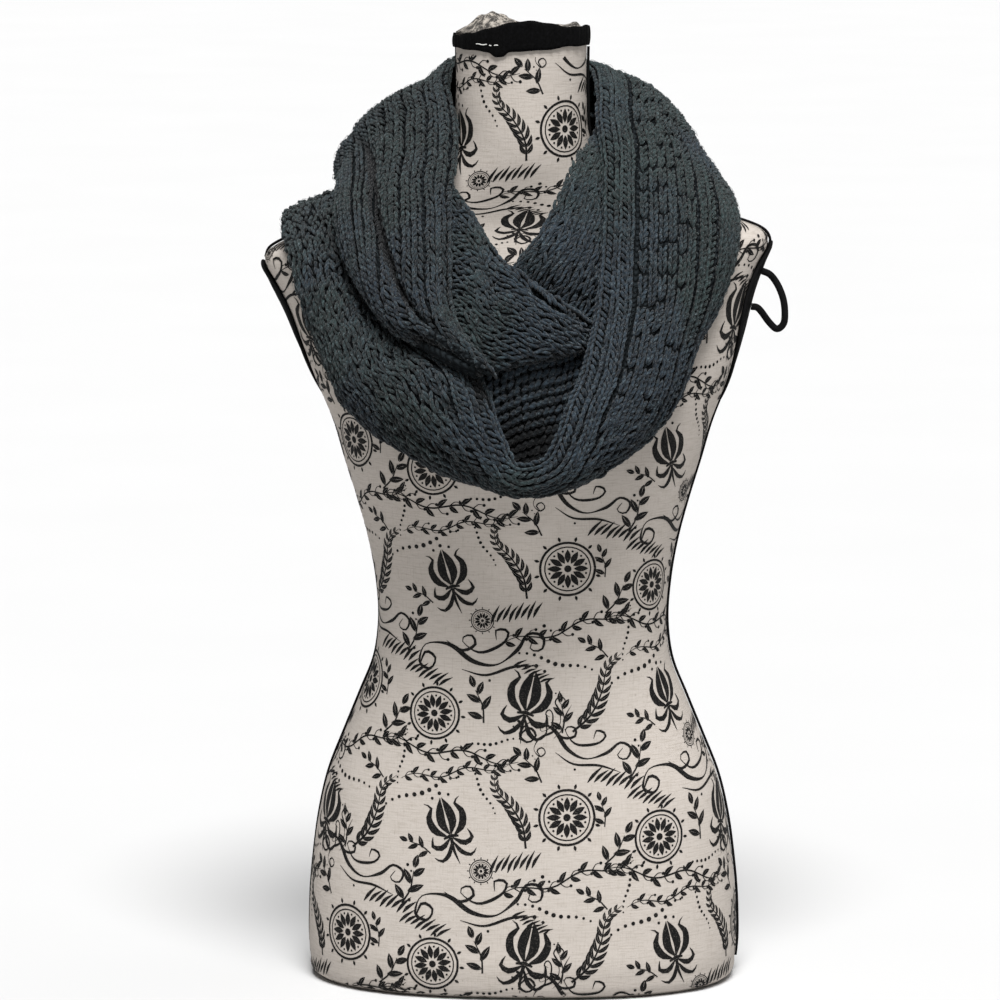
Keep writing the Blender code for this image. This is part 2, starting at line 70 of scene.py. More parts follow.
# height, half width, depth in front and behind the neck's axis, all in mm, and squareness
FORM_SECTIONS = np.array((
    (0, 160, -93, 98, 2.3), (4, 165, -100, 105, 2.3), (14, 167, -104, 109, 2.3),
    (50, 168, -106, 112, 2.3), (95, 164.5, -104, 109, 2.3), (127, 160, -101, 104, 2.3),
    (159, 152.5, -97, 98, 2.3), (190, 140.5, -92, 90, 2.3), (222, 127.5, -87, 83, 2.3),
    (250, 116.5, -82, 77, 2.3), (277, 112.5, -80, 74, 2.3), (316, 114.5, -85, 77, 2.3),
    (348, 120, -92, 80, 2.3), (379, 128, -102, 84, 2.3), (411, 137.5, -112, 87, 2.3),
    (442, 146.5, -114, 89, 2.3), (474, 159.5, -107, 91, 2.4), (506, 170, -93, 92, 2.5),
    (537, 180, -76, 90, 2.6), (558, 189.5, -65, 86, 2.6), (569, 195, -59, 80, 2.6),
    (577, 194, -55, 76, 2.6), (586, 178, -51, 71, 2.5), (595, 150, -48, 67, 2.4),
    (610, 108, -47, 61, 2.3), (625, 78, -48, 57, 2.2), (642, 60, -50, 54, 2.1),
    (662, 52.5, -51, 52, 2.0), (690, 50.5, -50.5, 50.5, 2.0), (740, 50.5, -50.5, 50.5, 2.0)))
ARMHOLE_MIDDLE = np.array((0.014, 0.510))       # y and z
ARMHOLE_HALF = np.array((0.036, 0.060))
ARMHOLE_THICK, ARMHOLE_THINNING, ARMHOLE_SEAT = 0.0030, 0.45, 0.0011
ARMHOLE_TOP_HEAVY, ARMHOLE_FOOT_NARROWING = 0.55, 0.35
LOOP_ROOTS = ((-0.002, 0.551), (-0.006, 0.525))  # y and z on the cap
LOOP_ROUTE = np.array(((196, -10, 550), (200, -12, 543), (203, -14, 534), (204, -15, 524),
                       (203, -14, 516), (198, -13, 512), (192, -11, 517))) * MM
LOOP_SEAT, LOOP_ROOT_OUT = 0.0005, 0.006
LOOP_RADIUS, LOOP_BRAID = 0.0027, 0.0021
SLOPE_REACH = 0.002             # how far up and down the torso's slope is measured
DRAFT_STEPS = 12                # points of a route's draft between two of its own
ASKEW = (0.31, 0.87, 0.38)      # a way that no cord sets out in
SHARP_EDGE = 50                 # degrees, from which an edge isn't shaded smooth


def flowing(rows, places):
    """Smooth values at places, counted in rows, through a table with a row for each step."""
    rows = np.asarray(rows, float)
    last = len(rows) - 1
    places = np.clip(np.asarray(places, float), 0, last)
    index = np.minimum(places.astype(int), last - 1)
    t = (places - index)[..., None]
    b, c = rows[index], rows[index + 1]
    a = np.where((index > 0)[..., None], rows[np.maximum(index - 1, 0)], 2 * b - c)
    d = np.where((index + 2 <= last)[..., None], rows[np.minimum(index + 2, last)], 2 * c - b)
    return 0.5 * (2 * b + (c - a) * t + (2 * a - 5 * b + 4 * c - d) * t ** 2
                  + (3 * b - a - 3 * c + d) * t ** 3)


def runs(line):
    """How far along a line each of its points lies."""
    return np.concatenate(([0], np.cumsum(np.linalg.norm(np.diff(line, axis=0), axis=1))))


def evenly(points, draft, step, least):
    """A smooth line through points: even places on it, the way it heads, its rows and length."""
    line = flowing(points, np.linspace(0, len(points) - 1, draft))
    run = runs(line)
    rows = max(int(run[-1] / step), least)
    even = np.linspace(0, run[-1], rows + 1)
    line = np.stack([np.interp(even, run, part) for part in line.T], axis=1)
    heading = np.gradient(line, axis=0)
    heading /= np.linalg.norm(heading, axis=1)[:, None]
    return line, heading, rows, run[-1]


def smoothstep(low, high, value):
    t = np.clip((value - low) / (high - low), 0.0, 1.0)
    return t * t * (3 - 2 * t)


def form_section(z):
    """Half width, front, back and squareness of the form at each height, without corners."""
    heights, values = FORM_SECTIONS[:, 0] * MM, FORM_SECTIONS[:, 1:]
    rise = np.diff(heights)[:, None]
    lean = np.diff(values, axis=0) / rise
    inner = (lean[:-1] * rise[1:] + lean[1:] * rise[:-1]) / (rise[:-1] + rise[1:])
    slopes = np.vstack((lean[:1], inner, lean[-1:] * 0))
    z = np.clip(np.asarray(z, float), heights[0], heights[-1])
    i = np.clip(np.searchsorted(heights, z, side="right") - 1, 0, len(heights) - 2)
    step = rise[i, 0][..., None]
    t = ((z - heights[i]) / rise[i, 0])[..., None]
    out = (values[i] * (1 + 2 * t) * (1 - t) ** 2 + slopes[i] * step * t * (1 - t) ** 2
           + values[i + 1] * t * t * (3 - 2 * t) + slopes[i + 1] * step * t * t * (t - 1))
    return out[..., 0] * MM, out[..., 1] * MM, out[..., 2] * MM, out[..., 3]


def on_form(x, y, z):
    """Points of the straight torso, with the shoulders' tilt and the form's small turn."""
    below_neck = 1 - smoothstep(TILT_FADE, TILT_END, z)
    tilt = SHOULDER_TILT * smoothstep(TILT_START, TILT_FULL, z) * below_neck
    shifted = x + TORSO_SHIFT * below_neck - tilt * (z - TILT_START)
    c, s = math.cos(FORM_TURN), math.sin(FORM_TURN)
    return np.stack((c * shifted - s * y, s * shifted + c * y, z + tilt * x), axis=-1)


def flank(side, y, z, out):
    """Points off the torso's side, straight out of its slope at that height."""
    half, front, back, squareness = form_section(z)
    above, below = form_section(z + SLOPE_REACH)[0], form_section(z - SLOPE_REACH)[0]
    slope = (above - below) / (2 * SLOPE_REACH)
    lean = np.sqrt(1 + slope * slope)
    share = np.minimum(np.abs((y - (front + back) / 2) / ((back - front) / 2)), 1) ** squareness
    x = half * (1 - share) ** (1 / squareness)
    point = on_form(side * (x + out / lean), y, z)
    point[..., 2] -= out * slope / lean
    return point


def armhole_rise(share, z):
    """How far an armhole cap stands off the torso, at a share of its size and at a height."""
    from_middle = (z - ARMHOLE_MIDDLE[1]) / ARMHOLE_HALF[1]
    return (ARMHOLE_SEAT + ARMHOLE_THICK * (1 - ARMHOLE_THINNING * share ** 4)
            * (1 + ARMHOLE_TOP_HEAVY * from_middle))


def lone():
    """Leaves nothing selected, before the next piece is made."""
    if bpy.context.object and bpy.context.object.mode != "OBJECT":
        bpy.ops.object.mode_set(mode="OBJECT")
    bpy.ops.object.select_all(action="DESELECT")


def points_of(mesh):
    found = np.empty(len(mesh.vertices) * 3)
    mesh.vertices.foreach_get("co", found)
    return found.reshape(-1, 3)


def uvs_of(mesh):
    found = np.empty(len(mesh.loops) * 2)
    mesh.uv_layers[0].data.foreach_get("uv", found)
    return found.reshape(-1, 2)


def laid(name, columns, rows, place, size=(1.0, 1.0), rolled=False):
    """A flat grid, laid where place(u, v) says for u and v from 0 to 1, with its UVs in metres.
    Its faces look the way of u turned to v. A rolled one is joined along its sides."""
    lone()
    bpy.ops.mesh.primitive_grid_add(x_subdivisions=columns, y_subdivisions=rows, size=1,
                                    calc_uvs=True)
    piece = bpy.context.object
    piece.name = piece.data.name = name
    u, v, _ = points_of(piece.data).T + 0.5
    piece.data.vertices.foreach_set("co", np.ascontiguousarray(place(u, v)).ravel())
    piece.data.uv_layers[0].data.foreach_set("uv", (uvs_of(piece.data) * size).ravel())
    piece.data.update()
    if rolled:
        bpy.ops.object.mode_set(mode="EDIT")
        bpy.ops.mesh.select_all(action="SELECT")
        bpy.ops.mesh.remove_doubles(threshold=0.00001)
        bpy.ops.object.mode_set(mode="OBJECT")
    bpy.ops.object.shade_smooth()
    return piece


def close_ends(piece, sharp=SHARP_EDGE):
    """Fills the open ends of a rolled piece, with its faces turned out."""
    lone()
    bpy.context.view_layer.objects.active = piece
    piece.select_set(True)
    bpy.ops.object.mode_set(mode="EDIT")
    bpy.ops.mesh.select_all(action="DESELECT")
    bpy.ops.mesh.select_mode(type="EDGE")
    bpy.ops.mesh.select_non_manifold(extend=False)
    bpy.ops.mesh.edge_face_add()
    bpy.ops.mesh.select_all(action="SELECT")
    bpy.ops.mesh.normals_make_consistent(inside=False)
    bpy.ops.object.mode_set(mode="OBJECT")
    if sharp:
        bpy.ops.object.shade_smooth_by_angle(angle=math.radians(sharp))


def corded(name, points, radius, sides=12, step=0.0008):
    """A round cord swept through the points, with closed ends, its UVs round it and along it."""
    draft = (len(points) - 1) * DRAFT_STEPS + 1
    line, heading, rows, length = evenly(points, draft, step, least=4)
    aside = np.empty_like(line)
    aside[0] = np.cross(heading[0], ASKEW)
    for i in range(1, len(line)):
        aside[i] = aside[i - 1] - heading[i] * (aside[i - 1] @ heading[i])
    aside /= np.linalg.norm(aside, axis=1)[:, None]
    above = np.cross(heading, aside)

    def place(u, v):
        i = np.rint(v * rows).astype(int)
        turn = 2 * math.pi * u[:, None]
        return line[i] + radius * (np.cos(turn) * aside[i] + np.sin(turn) * above[i])

    piece = laid(name, sides, rows, place, (2 * math.pi * radius, length), rolled=True)
    close_ends(piece)
    return piece, line


class Wire:
    """A value on its way through a finish, with the arithmetic that it takes part in."""

    def __init__(self, finish, socket):
        self.finish, self.socket = finish, socket

    def maths(self, operation, other=0.0, reflected=False):
        first, second = (other, self) if reflected else (self, other)
        return self.finish.node("Math", {"operation": operation}, {0: first, 1: second})

    def __add__(self, other):
        return self.maths("ADD", other)

    def __sub__(self, other):
        return self.maths("SUBTRACT", other)

    def __rsub__(self, other):
        return self.maths("SUBTRACT", other, reflected=True)

    def __mul__(self, other):
        return self.maths("MULTIPLY", other)

    def __pow__(self, other):
        return self.maths("POWER", other)

    def __rpow__(self, other):
        return self.maths("POWER", other, reflected=True)

    __radd__, __rmul__ = __add__, __mul__

    def sine(self):
        return self.maths("SINE")

    def size(self):
        return self.maths("ABSOLUTE")


class Finish:
    """A material in the making, on its shader, with one way to make a node and join it."""

    def __init__(self, name, roughness, **constants):
        self.material = bpy.data.materials.new(name)
        self.material.use_nodes = True
        self.tree = self.material.node_tree
        self.shader = self.tree.nodes["Principled BSDF"]
        self.join(self.shader.inputs["Roughness"], roughness)
        for socket, value in constants.items():
            self.shader.inputs[socket.replace("_", " ")].default_value = value

    def join(self, socket, value):
        if isinstance(value, Wire):
            self.tree.links.new(value.socket, socket)
        else:
            socket.default_value = value

    def node(self, kind, settings, sockets, output=0):
        made = self.tree.nodes.new("ShaderNode" + kind)
        for key, value in settings.items():
            setattr(made, key, value)
        for key, value in sockets.items():
            self.join(made.inputs[key], value)
        return Wire(self, made.outputs[output])

    def place(self):
        return self.node("TexCoord", {}, {}, "Object")

    def map(self, across=1.0, along=1.0):
        """The piece's own UVs, in metres, stretched."""
        uv = self.node("UVMap", {"uv_map": "UVMap"}, {})
        return self.node("Mapping", {}, {"Vector": uv, "Scale": (across, along, 1.0)})

    def uv(self, across=1.0, along=1.0):
        """The two parts of the piece's own UVs, stretched."""
        both = self.map(across, along)
        return self.axis(both, "X"), self.axis(both, "Y")

    def axis(self, vector, which):
        return self.node("SeparateXYZ", {}, {0: vector}, which)

    def noise(self, vector, scale, detail=2.0, roughness=0.5):
        return self.node("TexNoise", {}, {"Vector": vector, "Scale": scale, "Detail": detail,
                                          "Roughness": roughness})

    def between(self, value, low, high):
        """0 below low, 1 above high."""
        return self.node("MapRange", {"interpolation_type": "SMOOTHSTEP"},
                         {0: value, 1: low, 2: high, 3: 0.0, 4: 1.0})

    def blend(self, first, second, share):
        return self.node("Mix", {"data_type": "RGBA"}, {0: share, 6: first, 7: second}, 2)

    def paint(self, colour):
        self.join(self.shader.inputs["Base Color"], colour)

    def emboss(self, height, depth, strength=1.0):
        """Relief from a height of 0 to 1, depth metres deep."""
        bump = self.node("Bump", {}, {"Height": height, "Distance": depth, "Strength": strength})
        self.join(self.shader.inputs["Normal"], bump)


def colour(red, green, blue):
    """A colour given as it looks on a screen, from 0 to 255, for a node."""
    return tuple(((c / 255 + 0.055) / 1.055) ** 2.4 if c > 10 else c / 3294.6
                 for c in (red, green, blue)) + (1.0,)


def black_braid(name, pitch):
    """Black cotton braid: two families of strands that cross, dusty on their crowns."""
    finish = Finish(name, 0.88, Specular_IOR_Level=0.1)
    u, v = finish.uv(1 / pitch, 1 / pitch)
    one = ((u + v) * math.pi).sine().size()
    two = ((u - v) * math.pi).sine().size()
    crowns = one.maths("MAXIMUM", two)
    dust = finish.noise(finish.place(), 900, 4)
    finish.paint(finish.blend(colour(1, 1, 1), colour(24, 24, 25), crowns * dust))
    finish.emboss(crowns + dust * 0.3, 0.0004, 0.8)
    return finish.material


def shown(name, mesh):
    """A mesh as a piece of the scene."""
    piece = bpy.data.objects.new(name, mesh)
    bpy.context.scene.collection.objects.link(piece)
    return piece


def settle(piece, finish, slot_name, *nodes):
    """Gives a finished piece its material and body, and hides the nodes that it stands for. Its
    slot name is not used.
    """
    piece.data.materials.clear()
    piece.data.materials.append(finish)
    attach(piece, "root")
    if nodes:
        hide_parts(*nodes)


loop_ends = []
for root_y, root_z in LOOP_ROOTS:
    off_middle = (np.array((root_y, root_z)) - ARMHOLE_MIDDLE) / ARMHOLE_HALF
    seat = armhole_rise(np.linalg.norm(off_middle), root_z) + LOOP_SEAT
    loop_ends.append([flank(1, root_y, root_z, seat + out) for out in (0, LOOP_ROOT_OUT)])
loop_route = np.vstack((loop_ends[0], LOOP_ROUTE, loop_ends[1][::-1]))
loop, loop_line = corded("cord_loop", loop_route, LOOP_RADIUS, sides=20)
settle(loop, black_braid("black_cord", LOOP_BRAID), "black_trim", "form_loop")
loop_line[::3].tolist() + [loop_line[-1].tolist()]

# ---- Torso and neck ---------------------------------------------------------------------------
# Foam padding on a hard shell, covered with a front and a back panel of unbleached linen that
# meet at the sides. The cover is pulled tight, and a plain board closes the foot.
COVER_SIDES, COVER_ROWS = 128, 170
COVER_TOP, FORM_TOP = 0.7395, 0.74
LEVEL_COUNT, TURN_COUNT = 297, 241
SLANT_SHARE = 0.7               # how much of the flanks' slant the cloth's height takes up
SEAM_BACK = 0.012               # the side seams lie this far behind the widest line
LINEN_THREAD = 0.0011

levels = np.linspace(0, FORM_TOP, LEVEL_COUNT)
# from the front's middle to the back's
level_turns = np.linspace(-math.pi / 2, math.pi / 2, TURN_COUNT)


def section_point(turn, half, front, back, squareness):
    """x and y of the form's section at a turn from its side, to the back positive."""
    x = half * np.abs(np.cos(turn)) ** (2 / squareness)
    y = ((front + back) / 2 + (back - front) / 2
         * np.sign(turn) * np.abs(np.sin(turn)) ** (2 / squareness))
    return x, y


level_half, level_front, level_back, level_power = (s[:, None] for s in form_section(levels))
level_x, level_y = section_point(level_turns, level_half, level_front, level_back, level_power)
level_run = np.concatenate((np.zeros((len(levels), 1)), np.cumsum(
    np.hypot(np.diff(level_x), np.diff(level_y)), axis=1)), axis=1)
seam_run = np.array([np.interp(m + SEAM_BACK, y, r) for m, y, r in
                     zip((level_front + level_back)[:, 0] / 2, level_y, level_run)])
cloth_height = np.concatenate(([0], np.cumsum(
    np.hypot(np.diff(levels), SLANT_SHARE * np.diff(level_half[:, 0])))))


def at_level(table, z):
    return np.interp(z, levels, table)


def cover_point(run, z):
    """Points of the cover at a run round it from the front's middle, to the right positive."""
    low = np.clip((z / levels[1]).astype(int), 0, len(levels) - 2)
    share = z / levels[1] - low
    found = []
    for level in (low, low + 1):
        turn = np.empty_like(z)
        for each in np.unique(level):
            here = level == each
            turn[here] = np.interp(np.abs(run[here]), level_run[each], level_turns)
        found.append(turn)
    turn = found[0] * (1 - share) + found[1] * share
    x, y = section_point(turn, *form_section(z))
    return on_form(x * np.where(run < 0, -1, 1), y, z)


def place_cover(u, v):
    z = v * COVER_TOP
    return cover_point((u * 2 - 1) * at_level(level_run[:, -1], z), z)


def linen(name):
    """Unbleached linen: a plain weave of uneven threads, with slubs and darker fibres."""
    finish = Finish(name, 0.9, Specular_IOR_Level=0.15)
    u, v = finish.uv()
    weave = (u * (2 * math.pi / LINEN_THREAD)).sine() * (v * (2 * math.pi / LINEN_THREAD)).sine()
    weft = finish.noise(finish.map(70, 900), 1.0, 3, 0.6)
    warp = finish.noise(finish.map(900, 70), 1.0, 3, 0.6)
    fibres = finish.noise(finish.map(420, 420), 1.0, 4, 0.7)
    cloud = finish.noise(finish.place(), 14, 3)
    slubs = finish.between(weft, 0.42, 0.72) * 0.7 + finish.between(warp, 0.5, 0.75) * 0.5
    base = finish.blend(colour(185, 177, 169), colour(163, 154, 144), slubs)
    flecked = finish.blend(base, colour(120, 108, 96), finish.between(fibres, 0.58, 0.74) * 0.6)
    finish.paint(finish.blend(flecked, colour(183, 177, 171), cloud * 0.35))
    finish.emboss(weave * 0.25 + weft + warp, 0.00022, 0.8)
    return finish.material


cover = laid("form_cover", COVER_SIDES, COVER_ROWS, place_cover, rolled=True)
close_ends(cover)
cover_u, cover_v = uvs_of(cover.data).T
cover_z = cover_v * COVER_TOP
cover_run = (cover_u * 2 - 1) * at_level(level_run[:, -1], cover_z)
face_run = np.repeat([cover_run[p.loop_indices].mean() for p in cover.data.polygons],
                     [p.loop_total for p in cover.data.polygons])
behind = np.abs(face_run) > at_level(seam_run, cover_z)
panel_u = np.where(behind, 1 + cover_run - np.sign(face_run) * at_level(level_run[:, -1], cover_z),
                   cover_run)
panel_v = np.interp(cover_z, levels, cloth_height)
cover.data.uv_layers[0].data.foreach_set("uv", np.stack((panel_u, panel_v), axis=1).ravel())
settle(cover, linen("linen_cover"), "printed_linen", "form_body")

# ---- Print ------------------------------------------------------------------------------------
# Black screen print on the linen: rosettes, tulips, fern plumes, vines and pen flourishes, in a
# half-drop repeat. Each is drawn once, flat, and its copies are laid on the cover as a thin film.
INK_LIFT = 0.00016
PEN_STEP = 3.3                  # mm between the cross lines of a stroke
PEN_WEIGHT = 1.2
PEN_DRAFT = 60                  # points of a stroke's draft
REPEAT_WIDE, REPEAT_HIGH = 178.0, 196.0
REAR_SHIFT = 0.37               # how far the back panel's repeat is shifted, of its width
SEAM_CLEAR, FOOT_CLEAR, TOP_CLEAR = 0.001, 0.002, 0.014


def pen(points, widths):
    """A stroke of the pen through points, in mm, as wide as widths say on its way."""
    line, heading, rows, _ = evenly(points, PEN_DRAFT, PEN_STEP, least=5)
    wide = PEN_WEIGHT * flowing(np.array(widths, float)[:, None],
                                np.linspace(0, len(widths) - 1, rows + 1))[:, 0]

    def place(u, v):
        i = np.rint(v * rows).astype(int)
        aside = np.stack((heading[i, 1], -heading[i, 0]), axis=1) * (wide[i] * (u - 0.5))[:, None]
        flat = line[i] + aside
        return np.stack((flat[:, 0], flat[:, 1], flat[:, 0] * 0), axis=1)

    return laid("stroke", 1, rows, place)


def dot(x, y, radius):
    lone()
    bpy.ops.mesh.primitive_circle_add(vertices=10, radius=radius, fill_type="TRIFAN",
                                      location=(x, y, 0), calc_uvs=True)
    bpy.ops.object.transform_apply(location=True)
    return bpy.context.object


def polar(radius, turn, x=0.0, y=0.0):
    a = math.radians(turn)
    return x + radius * math.cos(a), y + radius * math.sin(a)


def ring(radius, width):
    return pen([polar(radius, 22.5 * k) for k in range(17)], (width, width))


def leaf(x, y, turn, length, width, curl=0.0):
    """A pointed leaf from its root, in two halves with a light rib between."""
    made = []
    for side in (-1, 1):
        points = []
        for t in (0, 0.25, 0.5, 0.75, 1):
            a = math.radians(turn + curl * t)
            off = side * (width * 0.27 * math.sin(math.pi * t) + 0.25 * (1 - t))
            points.append((x + length * t * math.cos(a) - off * math.sin(a),
                           y + length * t * math.sin(a) + off * math.cos(a)))
        made.append(pen(points, (0.15, width * 0.42, width * 0.46, width * 0.3, 0.05)))
    return made


def petal(x, y, turn, length, width):
    return pen([polar(length * t, turn, x, y) for t in (0, 0.5, 1)],
               (0.3, width, width * 0.9, 0.1))


def rosette():
    made = [ring(17.5, 1.3), ring(14.6, 0.7), dot(0, 0, 2.4)]
    for turn in range(0, 360, 30):
        made.append(petal(*polar(4.0, turn), turn, 9.0, 3.1))
        made.append(dot(*polar(12.0, turn + 15), 0.75))
        made.append(petal(*polar(18.6, turn + 15), turn + 15, 3.4, 1.5))
    return made


def plume():
    stem = np.array(((0, -34), (5, -16), (3, 4), (-3, 22), (2, 38)), float)
    made = [pen(stem, (1.6, 1.3, 1.0, 0.7, 0.2))]
    for k in range(11):
        place = 0.35 + k * 0.32
        x, y = flowing(stem, np.array([place]))[0]
        ahead = flowing(stem, np.array([place + 0.1]))[0]
        turn = math.degrees(math.atan2(ahead[1] - y, ahead[0] - x))
        length = 15.5 - 1.0 * k if k > 2 else 10.0 + 1.6 * k
        for side in (-1, 1):
            made += leaf(x, y, turn + side * 58, length, 3.3 - 0.14 * k, -side * 26)
    return made


def tulip():
    made = []
    for side in (-1, 1):
        made.append(pen([(side * 0.4, 0), (side * 4.2, 9), (side * 3.4, 19), (side * 0.5, 29)],
                        (1.0, 5.4, 5.0, 0.2)))
        made.append(pen([(side * 3.5, -1), (side * 11, 5), (side * 13.5, 15), (side * 9.5, 23),
                         (side * 14.5, 27)], (1.2, 4.6, 4.4, 2.2, 0.2)))
        made.append(pen([(side * 1.0, -3), (side * 9, -9), (side * 16, -6), (side * 14, 1)],
                        (0.6, 3.4, 2.6, 0.3)))
        made.append(pen([(side * 0.6, -6), (side * 5, -15), (side * 12, -19), (side * 17, -15)],
                        (0.6, 2.8, 2.2, 0.3)))
        made.append(dot(side * 6.6, 30, 1.2))
    made.append(pen([(-6, -2.6), (0, -1.4), (6, -2.6)], (1.2, 2.2, 1.2)))
    made.append(pen([(0, -3), (-0.6, -12), (1.2, -24)], (2.2, 1.8, 0.3)))
    made.append(dot(0, 32.5, 1.5))
    return made


def flourish():
    made = [pen([(-47, -3), (-41, 6), (-34, 1), (-39, -6), (-47, -1), (-40, 11), (-22, 9),
                 (-8, -4), (8, -9), (24, -1), (33, 9), (43, 6), (41, -3), (33, -2), (36, 5)],
                (0.4, 1.8, 1.2, 1.8, 0.6, 1.2, 2.6, 2.8, 1.8, 0.8, 2.2, 1.6, 1.8, 1.0, 0.4)),
            pen([(-24, 12), (-14, 4), (-4, 7), (-6, 14), (-13, 11), (-2, 1), (15, 5), (20, 13),
                 (12, 15), (11, 8)], (0.3, 1.5, 1.8, 1.2, 0.5, 1.4, 1.9, 1.4, 1.6, 0.3)),
            pen([(-16, -9), (0, -15), (20, -12), (38, -14)], (0.3, 1.4, 1.6, 0.2))]
    for x, y, r in ((45, 13, 1.3), (49, 9, 0.9), (-50, 9, 1.2), (-53, 4, 0.8), (2, -19, 1.0)):
        made.append(dot(x, y, r))
    return made


def vine():
    stem = np.array([(x, 3.2 * math.sin(x / 8.5)) for x in range(-54, 55, 9)], float)
    made = [pen(stem, (0.3, 0.9, 1.1, 0.9, 0.3))]
    for k in range(12):
        place = 0.5 + k * 0.98
        x, y = flowing(stem, np.array([place]))[0]
        side = 1 if k % 2 else -1
        made += leaf(x, y, side * (52 + 9 * (k % 3)), 8.5 + (k % 3), 3.4, -side * 20)
        made.append(pen([(x, y), (x + 3.4, y - side * 3.6), (x + 6.6, y - side * 3.8)],
                        (0.7, 0.6, 0.4)))
        made.append(dot(x + 7.6, y - side * 3.6, 1.25))
    return made


def sprig():
    made = [pen([(-2, -13), (1, -3), (0, 8)], (1.0, 0.8, 0.3))]
    for k, (turn, length) in enumerate(((140, 10), (38, 11), (132, 10), (48, 9), (90, 8))):
        made += leaf((-1.6, -0.4, 0.6, 0.4, 0)[k], -10 + 5 * k, turn, length, 3.6)
    return made


def bead_row():
    return [dot(-30 + 6.1 * k, 1.6 * math.sin(k * 0.9), 1.9 - 0.09 * abs(k - 5) * 2)
            for k in range(11)]


def quills():
    return [pen([(-15 + x, -6 + foot), (-12 + x, 0), (-7 + x, 7 - tip)], (0.4, 2.0, 1.4, 0.2))
            for x, foot, tip in ((4.3 * k, k % 3, k % 2 * 2) for k in range(8))]


def joined(parts):
    """The parts of one motif as one flat mesh: its points in mm and its faces."""
    lone()
    for part in parts:
        part.select_set(True)
    bpy.context.view_layer.objects.active = parts[0]
    bpy.ops.object.join()
    drawn = bpy.context.object
    points = points_of(drawn.data)[:, :2]
    faces = [tuple(p.vertices) for p in drawn.data.polygons]
    bpy.data.objects.remove(drawn)
    return points, faces


# The motifs of one repeat: what, across and up in mm, turn in degrees, size.
LAYOUT = (
    (rosette, 24, 30, 10, 1.15), (tulip, 96, 34, -12, 1.10), (plume, 150, 46, -32, 1.00),
    (flourish, 62, 78, 9, 1.12), (vine, 34, 0, -7, 1.05), (vine, 128, 98, 14, 1.00),
    (rosette, 128, 146, 0, 1.22), (tulip, 38, 132, 16, 1.00), (plume, 84, 150, 24, 0.90),
    (flourish, 136, 6, -13, 0.98), (sprig, 60, 40, 20, 1.25), (sprig, 168, 122, -30, 1.25),
    (sprig, 6, 92, -15, 1.30), (bead_row, 14, 164, 22, 1.05), (bead_row, 118, 72, -14, 0.95),
    (quills, 84, 110, 8, 1.10), (quills, 162, 176, -12, 1.15), (sprig, 100, 186, 42, 1.15),
    (vine, 40, 180, 9, 0.80), (flourish, 116, 22, 68, 0.55), (bead_row, 68, 8, 8, 0.75),
    (sprig, 124, 30, 8, 1.05), (quills, 14, 62, -20, 1.05), (sprig, 150, 82, 60, 0.95),
    (bead_row, 176, 92, 80, 0.70), (rosette, 62, 104, 15, 0.50), (sprig, 12, 122, 70, 0.9),
    (bead_row, 62, 168, -62, 0.70), (quills, 98, 66, -32, 0.8), (sprig, 156, 150, 15, 0.9))


def print_panel(drawn, rear):
    """Points and faces of the motifs that fall on one panel, cut off at its seams."""
    points, faces = [], []
    top = cloth_height[-1] / MM
    first = 0
    for what, across, up, turn, size in LAYOUT:
        flat, shape = drawn[what]
        c, s = polar(size, turn)
        for column in range(-2, 3):
            for row in range(-1, int(top / REPEAT_HIGH) + 2):
                u = (column + (REAR_SHIFT if rear else 0)) * REPEAT_WIDE + across - REPEAT_WIDE / 2
                v = (row + 0.5 * (column % 2)) * REPEAT_HIGH + up
                run = (u + flat[:, 0] * c - flat[:, 1] * s) * MM
                height = (v + flat[:, 0] * s + flat[:, 1] * c) * MM
                z = np.interp(height, cloth_height, levels)
                whole = at_level(level_run[:, -1], z)
                edge = at_level(seam_run, z)
                inside = (np.abs(run) < (whole - edge if rear else edge) - SEAM_CLEAR)
                inside &= (height > FOOT_CLEAR) & (height < cloth_height[-1] - TOP_CLEAR)
                kept = [f for f in shape if all(inside[list(f)])]
                if not kept:
                    continue
                used = np.unique(np.concatenate([np.array(f) for f in kept]))
                number = {old: first + i for i, old in enumerate(used)}
                here = run[used]
                if rear:
                    here = np.where(here < 0, 1, -1) * (whole[used] - np.abs(here))
                points.append(film(here, z[used]))
                faces += [[number[i] for i in f] for f in kept]
                first += len(used)
    return np.concatenate(points), faces


def film(run, z):
    """Points of the ink's film, a hair off the cover."""
    reach = 0.0008
    z = np.clip(z, reach, COVER_TOP - reach)
    across = cover_point(run + reach, z) - cover_point(run - reach, z)
    up = cover_point(run, z + reach) - cover_point(run, z - reach)
    out = np.cross(across, up)
    return cover_point(run, z) + INK_LIFT * out / np.linalg.norm(out, axis=1)[:, None]


def ink(name):
    """Matt black pigment, thin enough for the weave to break it here and there."""
    finish = Finish(name, 0.75, Specular_IOR_Level=0.15)
    worn = finish.noise(finish.place(), 1100, 3)
    finish.paint(finish.blend(colour(12, 12, 12), colour(74, 70, 66),
                              finish.between(worn, 0.52, 0.78)))
    finish.emboss(worn, 0.0001, 0.6)
    return finish.material


motifs = {what: joined(what()) for what in dict.fromkeys(entry[0] for entry in LAYOUT)}
ink_finish = ink("black_ink")
for panel, rear in (("front", False), ("back", True)):
    lone()
    mesh = bpy.data.meshes.new("print_" + panel)
    film_points, film_faces = print_panel(motifs, rear)
    mesh.from_pydata(film_points.tolist(), [], film_faces)
    mesh.update()
    if rear:
        mesh.flip_normals()
    settle(shown("print_" + panel, mesh), ink_finish, "printed_linen")

